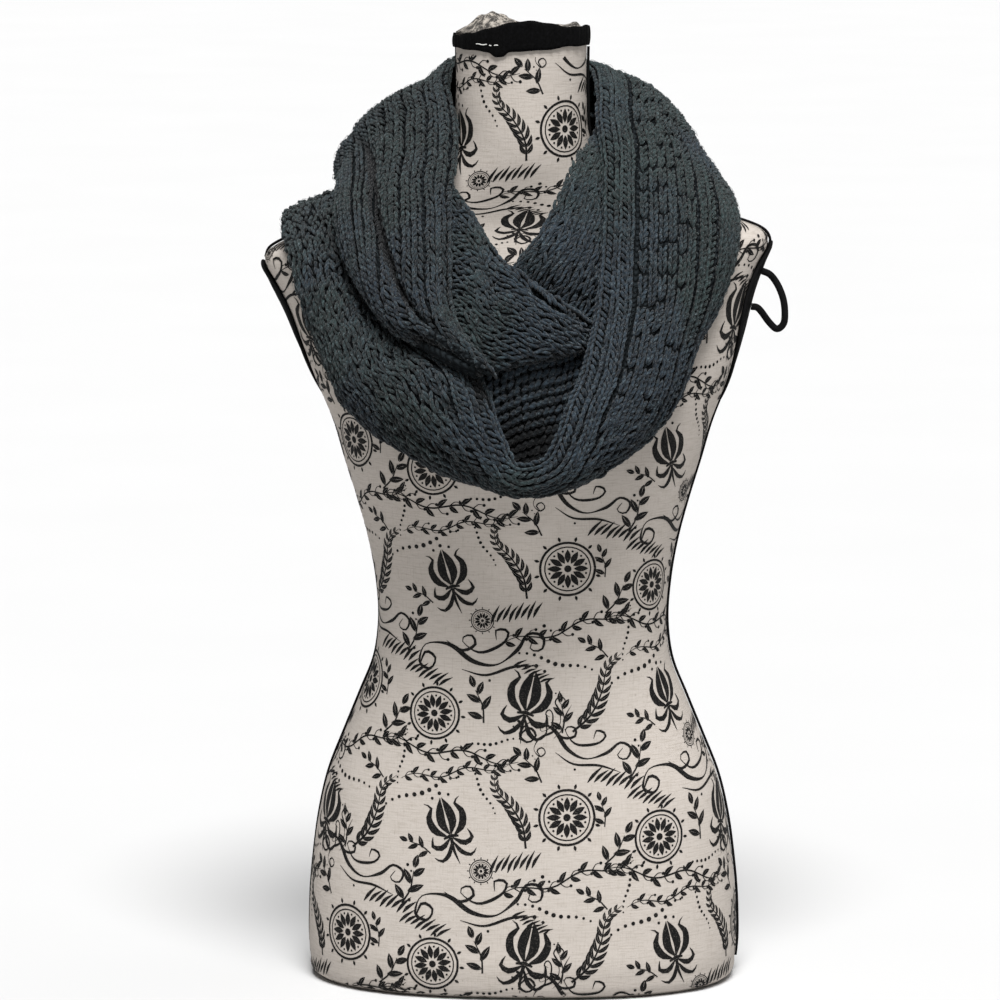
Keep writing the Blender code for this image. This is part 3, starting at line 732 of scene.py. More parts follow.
# ---- Neck top ---------------------------------------------------------------------------------
# The linen is gathered over the neck's top in an uneven puff, and a black tape is drawn round
# it. The tape puckers, and its end is tucked under at the front.
NECK_TOP, NECK_RADIUS = 0.7400, 0.0505
CAP_RINGS, CAP_SPOKES = 22, 96
TAPE_ROUND, TAPE_SECTION = 240, 20              # faces round the neck and round its section
CAP_CUT, TAPE_CUT = (0.3, 0.05), (0.33, 0.036)  # the cloth of each, round and across
TAPE_THICK = 0.0020
# The tape's edges across the front, from left to right, in mm, and the same at the back.
TAPE_TOP_EDGE = np.array((739.0, 743.5, 749.0, 752.5, 751.5, 747.5, 747.0))
TAPE_FOOT_EDGE = np.array((730.0, 729.0, 728.0, 729.5, 730.0, 732.0, 731.5))
TAPE_BACK_EDGE = 0.7400         # the top edge at the back, under the gathers, in metres
TAPE_TAB = (-0.0165, 0.0055, 0.0034)            # where the tucked end hangs out, how wide and far
TAPE_GAP = 0.0003               # between the neck and what is drawn over it
PEAK = 0.0112                   # how high the gathers stand at their highest


def mound(x, y, middle_x, middle_y, wide, deep):
    """A smooth hill of height 1 on the neck's top."""
    return np.exp(-(((x - middle_x) / wide) ** 2 + ((y - middle_y) / deep) ** 2))


def puff(x, y):
    """How high the gathered linen stands at a point of the neck's top."""
    share = np.clip(np.hypot(x, y) / NECK_RADIUS, 0, 1)
    turn = np.arctan2(y, x)
    rim = 1 - share ** 3.2
    peak = mound(x, y, -0.024, -0.020, 0.019, 0.026)
    crumple = 0.0022 * np.sin(x * 420 + 2 * np.sin(y * 260)) * np.sin(y * 330 + x * 150 + 1.0)
    point = 0.0085 * mound(x, y, 0.0425, -0.018, 0.0060, 0.012)
    point += 0.0045 * mound(x, y, 0.0300, -0.026, 0.0120, 0.012)
    gathers = 0.0009 * np.sin(turn * 17 + 1.3 * np.sin(turn * 3)) * np.sin(math.pi * share)
    gathers += 0.0006 * np.sin(turn * 29 + 2.0) * share * rim
    return (0.0006 + 0.0052 * rim + PEAK * peak * rim ** 0.30 + point * rim ** 0.15 + gathers
            + crumple * rim * (0.3 + peak))


def place_cap(u, v):
    turn = -2 * math.pi * u
    share = np.maximum(v, 0.02)
    x, y = NECK_RADIUS * share * np.cos(turn), NECK_RADIUS * share * np.sin(turn)
    return np.stack((x, y, NECK_TOP + TAPE_GAP + puff(x, y)), axis=1)


cap = laid("neck_gathers", CAP_SPOKES, CAP_RINGS, place_cap, CAP_CUT, rolled=True)
close_ends(cap, sharp=None)
cap_linen = Finish("linen_gathers", 0.9, Specular_IOR_Level=0.15)
cap_place = cap_linen.place()
cap_marks = cap_linen.between(cap_linen.noise(cap_place, 170, 5, 0.8), 0.40, 0.56)
cap_thread = cap_linen.noise(cap_place, 700, 3)
cap_plain = cap_linen.blend(colour(186, 180, 171), colour(148, 139, 129), cap_thread)
cap_linen.paint(cap_linen.blend(cap_plain, colour(30, 30, 31), cap_marks * 0.92))
cap_linen.emboss(cap_thread, 0.0004, 0.8)
settle(cap, cap_linen.material, "printed_linen", "form_neck_cap")


def place_tape(u, v):
    """Round the tape's own section: up its outer side, over its top and down its inner side."""
    turn = 2 * math.pi * u
    pucker = 0.0005 * np.sin(turn * 38 + 1.7 * np.sin(turn * 5)) + 0.0003 * np.sin(turn * 61)
    over = (np.cos(turn) + 1) / 2 * (len(TAPE_TOP_EDGE) - 1)
    low = flowing(TAPE_FOOT_EDGE[:, None], over)[:, 0] * MM + 0.0003 * np.sin(turn * 13)
    high = flowing(TAPE_TOP_EDGE[:, None], over)[:, 0] * MM + 0.0004 * np.sin(turn * 17 + 0.5)
    behind = smoothstep(-0.2, 0.5, np.sin(turn))
    high = high * (1 - behind) + (TAPE_BACK_EDGE + 0.0004 * np.sin(turn * 17)) * behind
    middle, wide, hang = TAPE_TAB
    low -= hang * np.exp(-((NECK_RADIUS * np.cos(turn) - middle) / wide) ** 4) * (np.sin(turn) < 0)
    around = 2 * math.pi * v
    out = TAPE_THICK / 2 * (1 + np.cos(around)) + pucker * np.clip(np.cos(around), 0, 1)
    height = (low + high) / 2 + (high - low) / 2 * np.clip(1.25 * np.sin(around), -1, 1)
    radius = NECK_RADIUS + TAPE_GAP + out
    return np.stack((radius * np.cos(turn), radius * np.sin(turn), height), axis=1)


tape = laid("neck_tape", TAPE_ROUND, TAPE_SECTION, place_tape, TAPE_CUT, rolled=True)


def black_tape(name):
    """Black cotton tape: fine ribs across it, with specks of dust."""
    finish = Finish(name, 0.9, Specular_IOR_Level=0.08)
    ribs = (finish.uv()[0] * (2 * math.pi / 0.0012)).sine()
    dust = finish.noise(finish.place(), 500, 4)
    finish.paint(finish.blend(colour(1, 1, 1), colour(24, 24, 26), dust ** 3.0))
    finish.emboss(ribs * 0.3 + dust, 0.0004, 0.8)
    return finish.material


tape_finish = black_tape("black_tape")
settle(tape, tape_finish, "black_trim", "form_neck_band")

# Three stitches of white thread that hold the tape's end: from, to and how high.
STITCHES = ((-0.0345, -0.0265, 0.7342), (-0.0245, -0.0231, 0.7338), (-0.0208, -0.0179, 0.7338))
THREAD_RADIUS, THREAD_ARCH, THREAD_LIFT = 0.0004, 0.0004, 0.0006
thread = Finish("white_thread", 0.8)
thread.paint(thread.blend(colour(196, 196, 192), colour(232, 232, 228),
                          thread.noise(thread.place(), 900)))
for number, (left, right, height) in enumerate(STITCHES, 1):
    reach = np.linspace(left, right, 5)
    arch = THREAD_ARCH * np.sin(np.linspace(0, math.pi, 5))
    stitch_radius = NECK_RADIUS + TAPE_THICK + THREAD_LIFT + arch
    stitch_line = np.stack((reach, -np.sqrt(stitch_radius ** 2 - reach ** 2),
                            height + 0.0003 * np.sin(reach * 900)), axis=1)
    stitch, _ = corded(f"tape_stitch_{number}", stitch_line, THREAD_RADIUS, sides=6, step=0.0006)
    settle(stitch, thread.material, "black_trim")

# ---- Armhole caps -----------------------------------------------------------------------------
# Black cotton stretched over an oval board at each armhole, with a corded edge. The cloth is
# drawn round the board, so it is taut in the middle and puckers towards the edge.
ARMHOLE_SPOKES, ARMHOLE_RINGS = 72, 14
ARMHOLE_CUT = (0.33, 0.05)      # its cloth, round and from the middle to the edge
EDGE_CORD, EDGE_BRAID = 0.0011, 0.0018
TURN_UNDER = 0.9                # the share of a cap's rings that lie on its face


def armhole_point(side, share, turn, lift):
    """A point of a cap's egg, lift times its thickness off the torso."""
    across = share * np.cos(turn) * (1 - ARMHOLE_FOOT_NARROWING * np.maximum(-np.sin(turn), 0))
    y = ARMHOLE_MIDDLE[0] + ARMHOLE_HALF[0] * across
    z = ARMHOLE_MIDDLE[1] + ARMHOLE_HALF[1] * share * np.sin(turn)
    return flank(side, y, z, armhole_rise(share, z) * lift)


for name, side in (("left", -1), ("right", 1)):
    def place_armhole(u, v):
        turn = 2 * math.pi * u * side
        over = np.clip(v / TURN_UNDER, 0.02, 1)
        under = v > 0.95
        crown = 1 + 0.08 * np.sin(turn * 31) * over ** 6
        share, lift = np.where(under, 0.985, over), np.where(under, 0.15, crown)
        return armhole_point(side, share, turn, lift)

    armhole = laid("armhole_cap_" + name, ARMHOLE_SPOKES, ARMHOLE_RINGS, place_armhole,
                   ARMHOLE_CUT, rolled=True)
    close_ends(armhole)
    settle(armhole, tape_finish, "black_trim", "form_armhole_" + name)
    edge_turns = np.linspace(0, 2 * math.pi, 61)[:-1]
    edge_line = armhole_point(side, 1.0, edge_turns, 0.8)
    edge_line = np.vstack((edge_line, edge_line[:1]))
    edge, _ = corded("armhole_edge_" + name, edge_line, EDGE_CORD, sides=10)
    settle(edge, black_braid("black_edge_" + name, EDGE_BRAID), "black_trim")

# ---- Piping -----------------------------------------------------------------------------------
# Black cord in a bias strip, sewn into the seams between the front panel and the back panel. A
# run goes down each side from the armhole, and one over each shoulder to the tape of the neck.
PIPING_RADIUS, PIPING_SEAT, PIPING_BRAID = 0.0011, 0.0003, 0.0015
PIPING_STEP = 0.006             # between the points that its route is worked out at
SHOULDER_SEAM_TOP = 0.7300
SIDE_SEAM_FOOT, SIDE_SEAM_TOP = 0.012, 0.456
SHOULDER_SEAM_FOOT = {"left": 0.572, "right": 0.5665}
SHOULDER_SEAM_BACK = {"left": 0.010, "right": 0.0}

piping_finish = black_braid("black_piping", PIPING_BRAID)
for name, side in (("left", -1), ("right", 1)):
    for seam, low, high, back_off in (
            ("side", SIDE_SEAM_FOOT, SIDE_SEAM_TOP, SEAM_BACK),
            ("shoulder", SHOULDER_SEAM_FOOT[name], SHOULDER_SEAM_TOP, SHOULDER_SEAM_BACK[name])):
        heights = np.linspace(low, high, int((high - low) / PIPING_STEP))
        _, front, back, _ = form_section(heights)
        seam_line = flank(side, (front + back) / 2 + back_off, heights,
                          PIPING_RADIUS + PIPING_SEAT)
        piping, _ = corded(f"piping_{seam}_{name}", seam_line, PIPING_RADIUS, sides=8, step=0.002)
        settle(piping, piping_finish, "black_trim", f"form_piping_{seam}_{name}")

# ---- Scarf ------------------------------------------------------------------------------------
# One knitted ring of thick heather wool and acrylic yarn, wound twice. Each stretch of it is a
# sheet of cloth, which fills the gaps between the stitches, under the yarn of those stitches.
KNIT_WALL = 0.0040
EDGE_TUCK, EDGE_TUCK_SHARE = 0.006, 0.3
ROLL, TUCK_BEND, INNER_TUCK_TURN, OUTER_TUCK_TURN, TANGENT_REACH = 0.10, 0.6, 0.40, 0.25, 0.2
CLOTH_SUNK = 0.0010             # how far the cloth's face lies under the stitches' middles
ROW = 0.0053                    # from one row of stitches to the next
WALE = 0.0095                   # from one column of stitches to the next
STATION = 0.0028                # between the sections that the surface is worked out at
STEPS_ACROSS = 72
FACE_STEPS, FINE_STEPS = 41, 4  # points across a section's face, and how many of each are made
HOLLOW_REACH = 8                # steps to each side that a place is compared with, for its painted shade
FOLD_SHADE = 38.0               # how fast a fold's yarn is painted into shade with its depth squared

# Sections across each stretch, in mm: the inner edge's x, y and z, the outer edge's, how far the
# cloth bulges between them, and how deep the outer edge is tucked.
OUTER_LEFT = (
    (-90, 10, 628, -184, 18, 597, 6, 9), (-104, -36, 611, -179, -46, 578, 4, 6),
    (-97, -76, 568, -170, -64, 546, 12, 6), (-83, -98, 536, -160, -74, 520, 20, 9),
    (-66, -126, 516, -149, -86, 495, 25, 11), (-50, -152, 508, -135, -99, 466, 27, 14),
    (-37, -171, 500, -111, -120, 446, 25, 18), (-28, -182, 484, -84, -138, 432, 22, 24),
    (-21, -188, 464, -58, -155, 420, 18, 22), (-13, -193, 448, -29, -170, 413, 14, 20),
    (-4, -196, 432, -1, -178, 409, 12, 20))
OUTER_RIGHT = (
    (-4, -196, 432, -1, -178, 409, 12, 20), (17, -194, 436, 40, -168, 414, 13, 20),
    (29, -188, 456, 75, -142, 429, 16, 18), (37, -180, 475, 100, -117, 447, 20, 14),
    (47, -166, 495, 119, -98, 474, 23, 8), (53, -150, 516, 131, -85, 506, 25, 6),
    (58, -132, 537, 146, -70, 529, 26, 5), (62, -104, 572, 163, -54, 571, 26, 4),
    (64, -80, 608, 166, -24, 601, 24, 3), (64, -49, 648, 160, 30, 602, 28, 3),
    (61, -24, 674, 143, 77, 590, 40, 3), (61, 12, 698, 115, 99, 577, 48, 4),
    (55, 48, 711, 68, 118, 573, 35, 5))
BACK_UPPER = (
    (55, 48, 711, 68, 118, 573, 35, 5), (28, 60, 713, 34, 128, 573, 34, 5),
    (0, 64, 712, 0, 131, 574, 30, 5), (-28, 60, 714, -36, 128, 578, 30, 5),
    (-52, 48, 716, -74, 115, 584, 20, 5))
INNER_LEFT = (
    (-52, 48, 716, -74, 115, 584, 20, 5), (-59, 24, 705, -114, 95, 604, 20, 4),
    (-58, 4, 692, -141, 54, 619, 27, 4), (-53, -24, 677, -140, 12, 626, 18, 4),
    (-52, -50, 654, -142, -18, 617, 17, 4), (-56, -84, 627, -141, -52, 600, 18, 4),
    (-56, -108, 602, -135, -80, 578, 20, 5), (-56, -130, 577, -125, -104, 559, 20, 6),
    (-55, -148, 551, -111, -128, 541, 18, 8), (-48, -164, 531, -94, -150, 527, 14, 8),
    (-37, -176, 516, -73, -166, 520, 11, 7), (-28, -184, 506, -54, -178, 513, 8, 5),
    (-22, -190, 499, -34, -187, 503, 5, 3))
INNER_FRONT = (
    (-57, -50, 636, -67, -131, 527, 3, 5), (-50, -73, 626, -58, -141, 516, 6, 5),
    (-38, -94, 610, -45, -153, 506, 11, 6), (-26, -111, 590, -31, -158, 499, 14, 6),
    (-14, -126, 576, -16, -162, 500, 14, 6), (-1, -134, 569, -1, -163, 504, 13, 6),
    (14, -139, 555, 16, -160, 508, 11, 6), (30, -139, 545, 33, -154, 510, 8, 5),
    (46, -128, 532, 50, -136, 511, 5, 5), (60, -112, 520, 62, -116, 508, 3, 4))
INNER_BORDER = (
    (-39, -143, 500, -26, -127, 420, 12, 4), (-16, -146, 508, -11, -129, 415, 14, 4),
    (6, -145, 511, 6, -128, 415, 14, 4), (29, -138, 509, 23, -126, 422, 13, 4),
    (49, -128, 512, 40, -121, 436, 9, 3), (61, -112, 512, 54, -112, 452, 6, 2))
INNER_RIGHT = (
    (-10, -114, 560, 58, -98, 520, 6, 4), (-1, -118, 576, 66, -88, 545, 8, 3),
    (11, -110, 590, 69, -75, 571, 9, 3), (21, -97, 605, 70, -59, 596, 8, 3),
    (29, -84, 621, 71, -42, 619, 7, 3), (36, -70, 635, 72, -24, 635, 7, 3),
    (44, -50, 650, 74, -2, 641, 7, 3), (57, -19, 663, 80, 22, 634, 7, 3),
    (62, 8, 674, 84, 46, 624, 8, 3))
BACK_LOWER = (
    (62, 8, 674, 84, 46, 624, 8, 3), (50, 40, 672, 67, 84, 604, 10, 4),
    (20, 57, 666, 26, 101, 586, 12, 4), (-8, 60, 658, -14, 107, 570, 14, 4),
    (-40, 56, 650, -64, 106, 556, 16, 4), (-66, 44, 640, -118, 92, 554, 14, 4),
    (-82, 30, 631, -161, 70, 575, 8, 3), (-90, 10, 628, -184, 18, 597, 6, 9))
WOUND = (("inner_right", INNER_RIGHT), ("back_lower", BACK_LOWER), ("outer_left", OUTER_LEFT),
         ("outer_right", OUTER_RIGHT), ("back_upper", BACK_UPPER), ("inner_left", INNER_LEFT))
# Folds: stretch, where it starts and ends along it, where it lies across it at both ends, how
# deep in mm, and how wide as a share of the face.
FOLDS = (
    ("outer_left", 0.45, 1.00, 0.34, 0.28, 3.5, 0.03),
    ("outer_left", 0.03, 0.52, 0.66, 0.10, 6.0, 0.07),
    ("outer_left", 0.46, 0.78, 0.02, 0.12, 11.0, 0.08),
    ("outer_left", 0.60, 1.00, 0.66, 0.60, 2.5, 0.05),
    ("outer_right", 0.10, 0.98, 0.285, 0.235, 1.6, 0.018),
    ("outer_right", 0.05, 0.70, 0.80, 0.62, 2.0, 0.05),
    ("back_upper", 0.00, 1.00, 0.45, 0.60, 5.0, 0.06),
    ("inner_left", 0.15, 1.00, 0.66, 0.41, 8.0, 0.045),
    ("inner_left", 0.24, 1.00, 0.635, 0.41, 9.0, 0.075),
    ("inner_left", 0.76, 1.06, 0.84, 0.76, 15.0, 0.17),
    ("inner_front", 0.10, 0.50, 0.20, 0.35, 3.0, 0.06),
    ("inner_front", 0.52, 1.05, 0.20, 0.34, 7.0, 0.07),
    ("back_lower", 0.25, 1.00, 0.40, 0.55, 4.0, 0.07))
# What shows of the ring at each stretch, laid flat: across and along, in metres.
SHOWN_CUT = {"inner_right": (0.073, 0.208), "back_lower": (0.112, 0.299),
             "outer_left": (0.116, 0.362), "outer_right": (0.144, 0.512),
             "back_upper": (0.187, 0.160), "inner_left": (0.122, 0.400),
             "inner_front": (0.094, 0.160), "inner_border": (0.100, 0.113)}


class Band:
    """A length of the knitted band: its surface at close stations, with the way out of it and
    how far each place of it lies under its surroundings."""

    def __init__(self, stretches):
        rows, self.starts, self.stops = [], {}, {}
        for name, table in stretches:
            self.starts[name] = max(len(rows) - 1, 0)
            rows += table if not rows else table[1:]
            self.stops[name] = len(rows) - 1
        rows = np.array(rows, float) * MM
        middles = (rows[:, :3] + rows[:, 3:6]) / 2
        run = runs(middles)
        self.places = np.interp(np.linspace(0, run[-1], int(run[-1] / STATION) + 1), run,
                                np.arange(len(rows)))
        here = flowing(rows, self.places)
        inner, outer, bulge, tuck = here[:, :3], here[:, 3:6], here[:, 6:7], here[:, 7:8]
        along = (flowing(middles, self.places + TANGENT_REACH)
                 - flowing(middles, self.places - TANGENT_REACH))
        chord = outer - inner
        normal = np.cross(chord, along)
        normal /= np.linalg.norm(normal, axis=1)[:, None]
        across = chord / np.linalg.norm(chord, axis=1)[:, None]
        handle = normal * bulge * 4 / 3
        turn = np.minimum(EDGE_TUCK, bulge * EDGE_TUCK_SHARE)
        t = np.linspace(0, 1, FACE_STEPS)[:, None, None]
        s = 1 - t
        face = (inner * s ** 3 + (inner + chord * ROLL + handle) * 3 * s * s * t
                + (outer - chord * ROLL + handle) * 3 * s * t * t + outer * t ** 3)
        sunk = self.fold_depth(t[:, 0, 0])[:, :, None]
        face -= normal * sunk
        section = np.concatenate((
            (inner - normal * turn + across * turn * INNER_TUCK_TURN)[None],
            (inner - normal * turn * TUCK_BEND)[None], face,
            (outer - normal * tuck * TUCK_BEND)[None],
            (outer - normal * tuck - across * tuck * OUTER_TUCK_TURN)[None]))
        sunk = np.concatenate((sunk[:1], sunk[:1], sunk, sunk[-1:], sunk[-1:]))
        fine = flowing(np.concatenate((section, sunk), axis=2).reshape(len(section), -1),
                       np.linspace(0, len(section) - 1, FINE_STEPS * len(section)))
        fine = fine.reshape(len(fine), -1, 4)
        lengths = np.concatenate((np.zeros((1, fine.shape[1])), np.cumsum(
            np.linalg.norm(np.diff(fine[:, :, :3], axis=0), axis=2), axis=0)))
        self.width = lengths[-1]
        grid = np.empty((len(self.places), STEPS_ACROSS + 1, 4))
        for i in range(len(self.places)):
            even = np.linspace(0, self.width[i], STEPS_ACROSS + 1)
            for k in range(4):
                grid[i, :, k] = np.interp(even, lengths[:, i], fine[:, i, k])
        self.surface, self.sunk = grid[:, :, :3], grid[:, :, 3:]
        self.look_out()

    def fold_depth(self, across):
        depth = np.zeros((len(across), len(self.places)))
        for name, start, end, first, last, deep, wide in FOLDS:
            if name in self.starts:
                begin, steps = self.starts[name], self.stops[name] - self.starts[name]
                share = ((self.places - begin) / steps - start) / (end - start)
                fade = np.sqrt(np.sin(math.pi * np.clip(share, 0, 1)))
                centre = first + (last - first) * np.clip(share, 0, 1)
                depth += deep * MM * fade * np.exp(-((across[:, None] - centre) / wide) ** 2)
        return depth

    def look_out(self):
        self.across = np.gradient(self.surface, axis=1)
        self.along = np.gradient(self.surface, axis=0)
        self.out = np.cross(self.across, self.along)
        for field in (self.across, self.along, self.out):
            field /= np.linalg.norm(field, axis=2)[:, :, None] + 1e-12
        reach = HOLLOW_REACH
        padded = np.pad(self.surface, ((0, 0), (reach, reach), (0, 0)), mode="edge")
        window = 2 * reach + 1
        smooth = sum(padded[:, k:k + STEPS_ACROSS + 1] for k in range(window)) / window
        # How far each place lies under its neighbours, plus its fold's depth squared: what the
        # yarn's painted shade is worked from.
        self.hollow = (np.sum((smooth - self.surface) * self.out, axis=2, keepdims=True)
                       + FOLD_SHADE * self.sunk ** 2)

    def read(self, field, station, run):
        """A field of the surface at stations and at runs, in metres, from the inner edge."""
        i = np.clip(station, 0, len(self.places) - 1.001)
        j = np.clip(run / np.interp(i, np.arange(len(self.width)), self.width), 0, 0.9999)
        j = j * STEPS_ACROSS
        i0, j0 = i.astype(int), j.astype(int)
        a, b = (i - i0)[:, None], (j - j0)[:, None]
        return ((field[i0, j0] * (1 - a) + field[i0 + 1, j0] * a) * (1 - b)
                + (field[i0, j0 + 1] * (1 - a) + field[i0 + 1, j0 + 1] * a) * b)

    def stations(self, name):
        """The first and last station of a stretch."""
        index = np.arange(len(self.places))
        return (np.interp(self.starts[name], self.places, index),
                np.interp(self.stops[name], self.places, index))

    def wale(self, run, step, phase=0.0):
        """Stations one step apart along a wale that lies at a run from the inner edge."""
        index = np.arange(len(self.places), dtype=float)
        line = self.read(self.surface, index, np.broadcast_to(run, index.shape))
        length = runs(line)
        return np.interp(np.arange(step * phase, length[-1], step), length, index)


def knit_ground(name):
    """The cloth between and behind the stitches, painted dark for the shade it lies in under them,
    with low purl rows.
    """
    finish = Finish(name, 0.95, Specular_IOR_Level=0.1)
    u, v = finish.uv()
    wales = (u * (2 * math.pi / WALE)).sine().size()
    purls = (v * (math.pi / ROW) + wales * 1.2).sine().size()
    fibre = finish.noise(finish.place(), 700, 4, 0.7)
    finish.paint(finish.blend(colour(6, 9, 11), colour(32, 37, 40), purls * fibre * wales * 1.8))
    finish.emboss(purls * wales + fibre * 0.3, 0.0016, 1.0)
    return finish.material


# The yarn is at its bluest at this x and z. What is added falls by half where the sum of the
# squared distances, times these, is 1.
BLUEST_AT, BLUE_FALL, BLUE_ADDED = (0.02, 0.48), (110, 160), 0.2


def yarn_finish(name):
    """Heather yarn: two plies twisted, pale and dark fibres in a charcoal ground, some of it
    greener and some bluer, and painted deep in shade where it dives between its neighbours,
    in folds and furrows and where it faces down."""
    finish = Finish(name, 0.92, Sheen_Weight=0.12, Sheen_Roughness=0.5, Specular_IOR_Level=0.25)
    tone = finish.node("Attribute", {"attribute_name": "tone"}, {}, "Fac")
    painted_shade = finish.node("Attribute", {"attribute_name": "painted_shade"}, {}, "Fac")
    u, v = finish.uv()
    plies = ((u * 2 + v * 3.2) * (2 * math.pi)).sine()
    place = finish.place()
    fibre = finish.noise(place, 1500, 3, 0.7)
    heather = finish.noise(place, 380, 3, 0.7)
    cloud = finish.noise(place, 13, 3)
    share = (tone * 0.56 + finish.between(heather, 0.36, 0.68) * 0.30 + plies * 0.13
             + (fibre - 0.5) * 1.5)
    green = finish.blend(colour(10, 18, 18), colour(48, 64, 64), share)
    blue = finish.blend(colour(10, 17, 25), colour(48, 62, 73), share)
    off_x, off_z = finish.axis(place, "X") - BLUEST_AT[0], finish.axis(place, "Z") - BLUEST_AT[1]
    middle = 0.5 ** (off_x * off_x * BLUE_FALL[0] + off_z * off_z * BLUE_FALL[1])
    ground = finish.blend(green, blue, finish.between(cloud + middle * BLUE_ADDED, 0.42, 0.66))
    flecked = finish.blend(ground, colour(94, 106, 110),
                           finish.between(fibre * heather * 2, 0.60, 0.82))
    # Painted shade: the yarn goes to near black where the shade attribute read above is low.
    finish.paint(finish.blend(colour(3, 7, 11), flecked, finish.between(painted_shade, 0.12, 0.88)))
    finish.emboss(plies * 0.5 + fibre * 1.3, 0.0007, 1.0)
    return finish.material


def fuzz_finish(name):
    """The loose fibres: pale and dark ones, mixed."""
    finish = Finish(name, 0.8, Specular_IOR_Level=0.2)
    share = finish.between(finish.noise(finish.place(), 160, 2), 0.35, 0.65)
    finish.paint(finish.blend(colour(34, 41, 43), colour(82, 93, 96), share))
    return finish.material


GROUND = knit_ground("knit_ground")
YARN = yarn_finish("heather_yarn")
FUZZ = fuzz_finish("loose_fibres")
LEG_ARCH = 0.42                 # how far its ends dive, of its height
LEG_FULLNESS = 0.62             # how blunt its ends are: 1 for an egg's, 0 for a rod's


def leg_of_stitch():
    """One leg of a stitch, 1 long and 1 thick: an arched strand with both ends turned down."""
    lone()
    bpy.ops.mesh.primitive_uv_sphere_add(segments=6, ring_count=5, radius=0.5, calc_uvs=True)
    leg = bpy.context.object
    bpy.ops.object.mode_set(mode="EDIT")
    shape = bmesh.from_edit_mesh(leg.data)
    for vert in shape.verts:
        x, y, z = vert.co
        round_share = min(math.hypot(x, y) * 2, 1.0)
        fuller = round_share ** LEG_FULLNESS / round_share if round_share > 0.01 else 1.0
        vert.co = (x * fuller, z, y * fuller - LEG_ARCH * (2 * z) ** 2)
    # A new sphere's faces come in no fixed order, so they are put in one.
    shape.faces.sort(key=lambda face: sum(2 ** vert.index for vert in face.verts))
    bmesh.update_edit_mesh(leg.data)
    bpy.ops.mesh.normals_make_consistent(inside=False)
    bpy.ops.object.mode_set(mode="OBJECT")
    points, uv = points_of(leg.data), uvs_of(leg.data)
    corners = np.array([i for p in leg.data.polygons for i in p.vertices])
    starts = np.array([p.loop_start for p in leg.data.polygons])
    bpy.data.objects.remove(leg)
    return points, corners, starts, uv


LEG_POINTS, LEG_CORNERS, LEG_STARTS, LEG_UV = leg_of_stitch()
# Painted shade on each leg: full colour on its crest, darker down its sides and at its ends, where
# they dive under their neighbours.
LEG_CREST_SHADE = np.clip(0.62 + 1.1 * LEG_POINTS[:, 2], 0, 1)
HOLLOW_DARK = 0.0042            # a leg this far under its surroundings is painted in full shade
UNDERSIDE_DARK = 0.6            # how much painted shade darkens the yarn that faces straight down
FURROW_TONE, FURROW_DARK = -0.3, 1.3            # from which tone down, and how much, yarn is painted darker with a furrow's shade
LEAST_SHADE = 0.04
# How unevenly the legs are laid: stations along, metres across, degrees, share of the size, tone
# and metres up.
UNEVEN_ALONG, UNEVEN_ACROSS, UNEVEN_TURN = 0.12, 0.00022, 5.5
UNEVEN_SIZE, UNEVEN_TONE, UNEVEN_LIFT = 0.10, 0.24, 0.0003
FUZZ_SHARE = 0.24               # of the legs that lie in the light, those with a loose fibre
FUZZ_LENGTH, FUZZ_TURN, FUZZ_BOW = (0.004, 0.010), 0.9, 0.0007
FUZZ_RADIUS, FUZZ_ARCH, FUZZ_SUNK = 0.00012, 0.0010, 0.0002
FUZZ_RINGS = 3
LEAST_RUN, EDGE_CLEAR = 0.001, 0.0015           # no leg's middle is nearer to the band's edges
TIPPED, RAIL_TIPPED = 0.16, 0.12                # how steeply legs rise from the cloth, in radians
LEG_HEIGHT = 1.15               # a leg's height, of its width
SWAY_LENGTH, SWAY_SHIFT = 0.047, 90             # a wandering column's bends, and how they shift
RAGGED_ALONG, RAGGED_ACROSS, RAGGED_UP = 0.04, 0.00005, 0.00006    # to each degree of raggedness
HATCH_TURN, HATCH_TONE = 7, 0.12                # how unevenly slanting legs lie and are coloured
BORDER_CLIMB = 0.034            # how much the inner border's ribs rise from left to right
CLOTH_COLUMNS, CLOTH_ROW = 44, 0.006
chance = np.random.default_rng(11)


def strands(name, points, corners, starts, finish):
    """One mesh of many alike strands, from the points of each and the faces that all share."""
    count, each = points.shape[:2]
    number = np.arange(count)[:, None]
    mesh = bpy.data.meshes.new(name)
    mesh.vertices.add(count * each)
    mesh.vertices.foreach_set("co", points.ravel())
    mesh.loops.add(count * len(corners))
    mesh.loops.foreach_set("vertex_index", (corners + each * number).ravel().astype(np.int32))
    mesh.polygons.add(count * len(starts))
    mesh.polygons.foreach_set("loop_start",
                              (starts + len(corners) * number).ravel().astype(np.int32))
    mesh.update(calc_edges=True)
    mesh.validate()
    mesh.shade_smooth()
    piece = shown(name, mesh)
    settle(piece, finish, "charcoal_knit")
    return piece


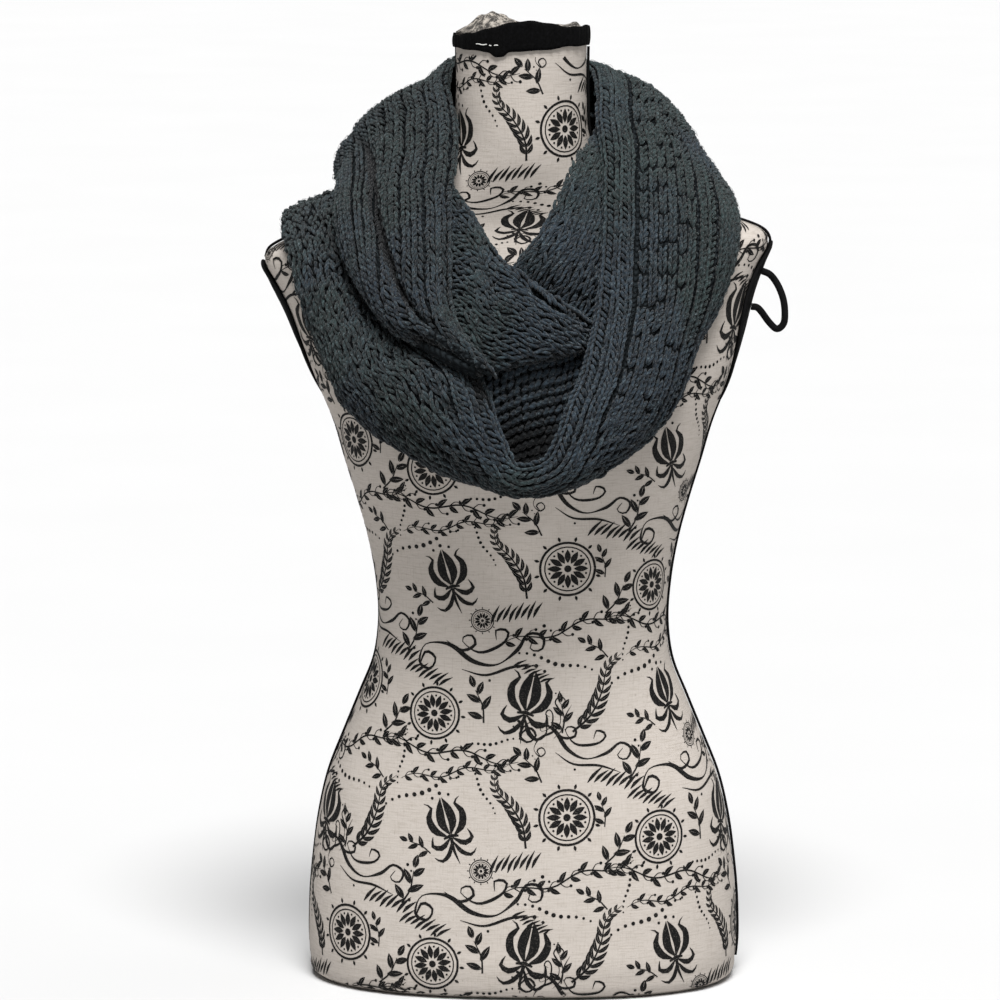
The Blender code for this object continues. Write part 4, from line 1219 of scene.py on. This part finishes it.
class Yarn:
    """The legs of the stitches of one stretch, gathered up and then made into one mesh."""

    def __init__(self, band, name):
        self.band, self.name = band, name
        self.first, self.last = band.stations(name)
        self.zone = (0.0, 1.0)      # the share of the stretch that legs are laid in
        self.legs = []

    def lay(self, station, run, turn, length, width, height=None, rise=0.0, tip=0.0, tone=0.0):
        """Legs at stations and runs, turned towards the outer edge by turn degrees."""
        total = np.interp(station, np.arange(len(self.band.width)), self.band.width)
        share = (station - self.first) / (self.last - self.first)
        keep = (share >= self.zone[0]) & (share < self.zone[1])
        keep &= (run > LEAST_RUN) & (run < total - EDGE_CLEAR)
        height = width if height is None else height
        columns = [np.broadcast_to(x, (len(station),)) for x in (
            station, run, turn, length, width, height, rise, tip, tone)]
        self.legs.append(np.stack(columns, axis=1)[keep])

    def knit(self):
        """Makes the legs and the loose fibres over them."""
        band, legs = self.band, np.concatenate(self.legs)
        count = len(legs)
        station, run, turn, length, width, height, rise, tip, tone = legs.T
        # Painted shade for each leg: darker in hollows and folds, where it faces down, and in
        # furrows.
        hollow = np.clip(band.read(band.hollow, station, run)[:, 0], 0, HOLLOW_DARK)
        under = np.clip(-band.read(band.out, station, run)[:, 2], 0, 1)
        shade = np.clip(1 - hollow / HOLLOW_DARK - UNDERSIDE_DARK * under
                        + FURROW_DARK * np.minimum(tone - FURROW_TONE, 0), LEAST_SHADE, 1)
        station = station + chance.normal(0, UNEVEN_ALONG, count)
        run = run + chance.normal(0, UNEVEN_ACROSS, count)
        turn = np.radians(turn + chance.normal(0, UNEVEN_TURN, count))
        length = length * chance.normal(1, UNEVEN_SIZE, count)
        width = width * chance.normal(1, UNEVEN_SIZE, count)
        tone = tone + chance.normal(0.5, UNEVEN_TONE, count)
        centre = band.read(band.surface, station, run)
        out = band.read(band.out, station, run)
        out /= np.linalg.norm(out, axis=1)[:, None]
        along = band.read(band.along, station, run)
        along -= out * np.sum(along * out, axis=1)[:, None]
        along /= np.linalg.norm(along, axis=1)[:, None]
        across = np.cross(along, out)
        heading = along * np.cos(turn)[:, None] + across * np.sin(turn)[:, None]
        aside = np.cross(heading, out)
        tipped = heading * np.cos(tip)[:, None] + out * np.sin(tip)[:, None]
        up = np.cross(aside, tipped)
        lift = rise + chance.normal(0, UNEVEN_LIFT, count)
        points = (centre[:, None] + out[:, None] * lift[:, None, None]
                  + aside[:, None] * (LEG_POINTS[None, :, 0] * width[:, None])[:, :, None]
                  + tipped[:, None] * (LEG_POINTS[None, :, 1] * length[:, None])[:, :, None]
                  + up[:, None] * (LEG_POINTS[None, :, 2] * height[:, None])[:, :, None])
        piece = strands("yarn_" + self.name, points, LEG_CORNERS, LEG_STARTS, YARN)
        uv = piece.data.uv_layers.new(name="UVMap")
        uv.data.foreach_set("uv", np.tile(LEG_UV, (count, 1)).ravel())
        # The legs' tone, and their painted shade: each leg's own shade times that of its place.
        for attribute, values in (("tone", np.repeat(tone, len(LEG_POINTS))),
                                  ("painted_shade", (LEG_CREST_SHADE * shade[:, None]).ravel())):
            layer = piece.data.attributes.new(attribute, "FLOAT", "POINT")
            layer.data.foreach_set("value", values)
        lit = np.flatnonzero((shade > 0.5) & (chance.random(count) < FUZZ_SHARE))
        tops = centre[lit] + out[lit] * (lift + 0.5 * height)[lit, None]
        return [piece, self.fuzz(tops, heading[lit], aside[lit], out[lit])]

    def fuzz(self, tops, heading, aside, out):
        """Loose fibres over the stitches: thin hairs that arch off the yarn and sink back."""
        count = len(tops)
        turn = chance.normal(0, FUZZ_TURN, count)[:, None]
        hair = heading * np.cos(turn) + aside * np.sin(turn)
        beside = np.cross(hair, out)
        reach = chance.uniform(*FUZZ_LENGTH, count)[:, None]
        bow = chance.normal(0, FUZZ_BOW, count)[:, None]
        rings = []
        for t in np.linspace(-0.5, 0.5, FUZZ_RINGS):
            middle = (tops + hair * reach * t + beside * bow * np.cos(math.pi * t)
                      + out * (FUZZ_ARCH * np.cos(math.pi * t) - FUZZ_SUNK))
            for corner in np.radians((90, 210, 330)):
                off_middle = beside * math.cos(corner) + out * math.sin(corner)
                rings.append(middle + FUZZ_RADIUS * off_middle)
        faces = [(0, 1, 2), tuple(3 * FUZZ_RINGS - k for k in (1, 2, 3))]
        for ring_start in range(0, 3 * (FUZZ_RINGS - 1), 3):
            faces += [(ring_start + k, ring_start + 3 + k, ring_start + 3 + (k + 1) % 3,
                       ring_start + (k + 1) % 3) for k in range(3)]
        starts = np.cumsum([0] + [len(face) for face in faces[:-1]])
        return strands("fuzz_" + self.name, np.stack(rings, axis=1), np.concatenate(faces), starts,
                       FUZZ)


def cloth(band, name, pieces):
    """The sheet of one stretch, on the surface of its band, with its wall and its cut size."""
    first, last = band.stations(name)
    rows = max(int((last - first) * STATION / CLOTH_ROW), 4)

    def place(u, v):
        station = first + (last - first) * v
        run = u * np.interp(station, np.arange(len(band.width)), band.width)
        out = band.read(band.out, station, run)
        return band.read(band.surface, station, run) - out * CLOTH_SUNK

    piece = laid("cloth_" + name, CLOTH_COLUMNS, rows, place, SHOWN_CUT[name])
    wall = piece.modifiers.new("Wall", "SOLIDIFY")
    wall.thickness = KNIT_WALL - CLOTH_SUNK
    wall.offset = -1
    bpy.ops.object.modifier_apply(modifier="Wall")
    settle(piece, GROUND, "charcoal_knit", "scarf_" + name)


def column(yarn, run, slant=17, half=0.0019, length=0.0096, width=0.0030, rise=0.0006, tone=0.0,
           sway=0.0, ragged=0.0, skip=None):
    """A column of knit stitches: two legs to a row, that meet in a V."""
    station = yarn.band.wale(run, ROW, chance.random())
    if skip is not None:
        station = station[~skip(station)]
    line = run + sway * np.sin(station * STATION * 2 * math.pi / SWAY_LENGTH + run * SWAY_SHIFT)
    count = len(station)
    for side in (-1, 1):
        yarn.lay(station + chance.normal(0, RAGGED_ALONG * ragged, count),
                 line + side * half + chance.normal(0, RAGGED_ACROSS * ragged, count),
                 side * slant + chance.normal(0, ragged, count), length, width, width * LEG_HEIGHT,
                 rise + chance.normal(0, RAGGED_UP * ragged, count), TIPPED, tone)


def rail(yarn, run, tone=0.22, rise=0.0013, width=0.0025):
    """A straight light line: the legs of a column that all lie one way, end over end."""
    station = yarn.band.wale(run, ROW)
    yarn.lay(station, run, 0, ROW * 1.9, width, 0.0034, rise, RAIL_TIPPED, tone)


def hatch(yarn, run, turn=-36, length=0.0082, width=0.0027, rise=0.0003, tone=0.0, phase=0.0,
          step=ROW):
    """Slanting legs between two rails."""
    station = yarn.band.wale(run, step, phase)
    count = len(station)
    yarn.lay(station, run, turn + chance.normal(0, HATCH_TURN, count), length, width,
             width * LEG_HEIGHT, rise + chance.normal(0, UNEVEN_LIFT, count), RAIL_TIPPED,
             tone + chance.normal(0, HATCH_TONE, count))


def furrow(yarn, run, step=ROW, width=0.0042, rise=-0.0016, tone=-0.35):
    """The purl bumps at the bottom of a furrow, painted dark by their low tone for the furrow's
    shade.
    """
    station = yarn.band.wale(run, step, 0.5)
    yarn.lay(station, run, 75, width, 0.0024, 0.0026, rise, 0, tone)


def blocks(yarn, run, offset, block=0.0252):
    """Two columns of stitches with a purl row across them at the foot of each block."""
    for aside, foot in ((-0.0039, 0.20), (0.0039, 0.08)):
        length = yarn.band.wale(run, MM)

        def at_foot(station):
            place = np.interp(station, length, np.arange(len(length)) * MM) / block + offset
            return place % 1.0 < foot

        column(yarn, run + aside, slant=12, half=0.0017, length=0.0104, width=0.0028, rise=0.0009,
               ragged=3.0, skip=at_foot)
    feet = yarn.band.wale(run - 0.0030, block, 0.14 - offset % 1.0)
    # The low purl row at each block's foot is painted darker, as shade in the step there.
    yarn.lay(feet, run - 0.0030, 82, 0.0068, 0.0026, 0.0026, -0.0017, 0, -0.3)
    yarn.lay(feet + 1.0, run - 0.0036, 80, 0.0062, 0.0024, 0.0026, -0.0006, 0, -0.05)


def border(yarn, crisp=1.0):
    """The band's inner border: rails with slanting legs between them, then a furrow."""
    hatch(yarn, 0.0036, 12, 0.0090, 0.0030, 0.0004)
    rail(yarn, 0.0080, 0.36 * crisp)
    hatch(yarn, 0.0122, -33, 0.0094, 0.0034)
    hatch(yarn, 0.0177, -14, 0.0104, 0.0036, 0.0005, phase=0.5)
    rail(yarn, 0.0218, 0.30 * crisp)
    hatch(yarn, 0.0250, -30, 0.0092, 0.0030, phase=0.3)
    hatch(yarn, 0.0282, -10, 0.0098, 0.0028, phase=0.8)
    rail(yarn, 0.0312, 0.22 * crisp, 0.0009)
    furrow(yarn, 0.0352, rise=-0.0022, tone=-0.55)


def waves(yarn, first, last, pitch, ragged, sway, tone=0.0, slant=14):
    """Columns of loose stitches that wander, as plain knitting does where it is slack."""
    for run in np.arange(first, last, pitch):
        column(yarn, run, slant, 0.0020, 0.0120, 0.0028, 0.0006, tone, sway, ragged)


def pattern_right(yarn):
    """The border, three columns of blocks, a double rib between dotted furrows, and a plain edge,
    with plain knitting all across where the turn starts."""
    border(yarn)
    yarn.zone = (0.20, 1.0)
    for run, offset, furrow_run in ((0.0440, 0.42, 0.0516), (0.0594, 0.08, 0.0674)):
        blocks(yarn, run, offset)
        furrow(yarn, furrow_run, rise=-0.0024, tone=-0.6)
    blocks(yarn, 0.0758, 0.14)
    furrow(yarn, 0.0852, ROW * 1.6)
    column(yarn, 0.0908, slant=12, half=0.0017)
    rail(yarn, 0.0966, 0.20)
    hatch(yarn, 0.1008, 30)
    furrow(yarn, 0.1052, ROW * 1.6)
    waves(yarn, 0.1102, 0.22, pitch=0.0080, ragged=5.0, sway=0.0005)
    yarn.zone = (0.0, 0.21)
    waves(yarn, 0.0396, 0.20, pitch=0.0078, ragged=11.0, sway=0.0010)


def pattern_left(yarn):
    """The border, softer, and plain slack knitting."""
    border(yarn, crisp=0.6)
    # The waves' yarn is painted a little darker, as shade on the form's left.
    waves(yarn, 0.0392, 0.20, pitch=0.0082, ragged=9.0, sway=0.0020, tone=-0.10, slant=10)


def pattern_ribs(yarn):
    """Ribs of one column each, some with a straight strand at the side, and dark furrows between.
    The outer ones are two straight strands each."""
    # The columns and outer rails are painted darker by their low tones, as shade on the form's
    # left, and the furrows darker still.
    for k in range(22):
        base = 0.0042 + k * 0.0090
        if base > 0.084:
            rail(yarn, base - 0.0015, -0.16, 0.0010, 0.0028)
            rail(yarn, base + 0.0016, -0.24, 0.0008, 0.0030)
        else:
            column(yarn, base, slant=13, half=0.0017, length=0.0108, width=0.0028, rise=0.0010,
                   tone=-0.21, sway=0.0004, ragged=4.0)
        if k % 2:
            rail(yarn, base + 0.0036, 0.0, 0.0006, 0.0021)
        furrow(yarn, base + 0.0051, width=0.0032, rise=-0.0024, tone=-0.6)


def pattern_plain(yarn):
    waves(yarn, 0.0040, 0.14, pitch=0.0080, ragged=8.0, sway=0.0007)


def pattern_front(yarn):
    """The smooth side, gathered: legs that lean with the gathers, under a rope-like edge that
    stands up at the right."""
    yarn.zone = (0.0, 0.60)
    hatch(yarn, 0.0034, 10, 0.0092, 0.0028)
    yarn.zone = (0.60, 1.0)
    for run in (0.0040, 0.0092):
        hatch(yarn, run, 34, 0.0088, 0.0034, 0.0018, tone=0.12, step=ROW * 0.95)
    for k in range(18):
        run = 0.0082 + k * 0.0072
        yarn.zone = (0.0, 0.60 if run < 0.019 else 1.0)
        for side in (-1, 1):
            station = yarn.band.wale(run, 0.0068, chance.random())
            count = len(station)
            gathered = smoothstep(0.10, 0.55, station / len(yarn.band.places))
            lean = 20 * gathered - 24 * (1 - gathered) * smoothstep(0.006, 0.040, run)
            yarn.lay(station, run + side * 0.0018 + chance.normal(0, 0.0004, count),
                     lean + side * 10 + chance.normal(0, 9, count), 0.0116, 0.0027, 0.0036,
                     0.0006 + chance.normal(0, 0.0006, count), TIPPED)


def pattern_border(yarn):
    """Ribs that climb from left to right, with a furrow by each, and painted shade that deepens
    towards the foot.
    """
    for k in range(-5, 16):
        for first, slant, width, rise, tone in ((0.0040, -50, 0.0044, 0.0008, 0.16),
                                                (0.0077, -72, 0.0028, -0.0016, -0.2)):
            run = first + k * 0.0074
            station = yarn.band.wale(max(run, 0.002), 0.0052)
            run = run + BORDER_CLIMB * (1 - station / len(yarn.band.places))
            # Painted shade: the tone falls towards the foot, and the furrows' legs are low and
            # dark.
            yarn.lay(station, run, slant, 0.0092, width, 0.0044, rise, TIPPED,
                     tone - 1.7 * np.clip(run / 0.088, 0, 1) ** 3)


ring_band = Band(WOUND)
front_band = Band((("inner_front", INNER_FRONT),))
border_band = Band((("inner_border", INNER_BORDER),))
for band, name, pattern in (
        (ring_band, "inner_right", pattern_plain), (ring_band, "back_lower", pattern_left),
        (ring_band, "outer_left", pattern_left), (ring_band, "outer_right", pattern_right),
        (ring_band, "back_upper", pattern_right), (ring_band, "inner_left", pattern_ribs),
        (front_band, "inner_front", pattern_front), (border_band, "inner_border", pattern_border)):
    yarn = Yarn(band, name)
    pattern(yarn)
    cloth(band, name, yarn.knit())

# ---- Floor and light --------------------------------------------------------------------------
# A plain pale floor, under one broad soft light from above the front and a weak one from the
# right, with a little even light from all round.
FLOOR_SIZE, FLOOR_DROP = 40, 0.0005
AMBIENT = 0.13
lone()
bpy.ops.mesh.primitive_plane_add(size=FLOOR_SIZE, location=(0, 0, -FLOOR_DROP))
floor = bpy.context.object
floor.name = "floor"
bpy.ops.object.transform_apply(location=True)
pale = Finish("pale_floor", 0.9, Specular_IOR_Level=0.0)
pale.paint(pale.blend(colour(201, 201, 201), colour(204, 204, 204), pale.noise(pale.place(), 3)))
floor.data.materials.append(pale.material)

world = bpy.data.worlds.new("studio")
bpy.context.scene.world = world
world.use_nodes = True
world.node_tree.nodes["Background"].inputs["Color"].default_value = (1.0, 1.0, 1.0, 1.0)
world.node_tree.nodes["Background"].inputs["Strength"].default_value = AMBIENT


def soft_sun(name, rise, turn, power, spread):
    """A broad far light, rise degrees up and turn degrees to the right of straight in front."""
    bpy.ops.object.light_add(type="SUN", location=(0, 0, 3))
    light = bpy.context.object
    light.name = name
    light.data.energy, light.data.angle = power * math.pi, math.radians(spread)
    light.rotation_euler = (math.radians(90 - rise), 0, math.radians(turn))


soft_sun("key", rise=61, turn=5, power=1.66, spread=28)
soft_sun("side", rise=44, turn=96, power=0.12, spread=60)
bpy.context.scene.view_settings.view_transform = "Standard"
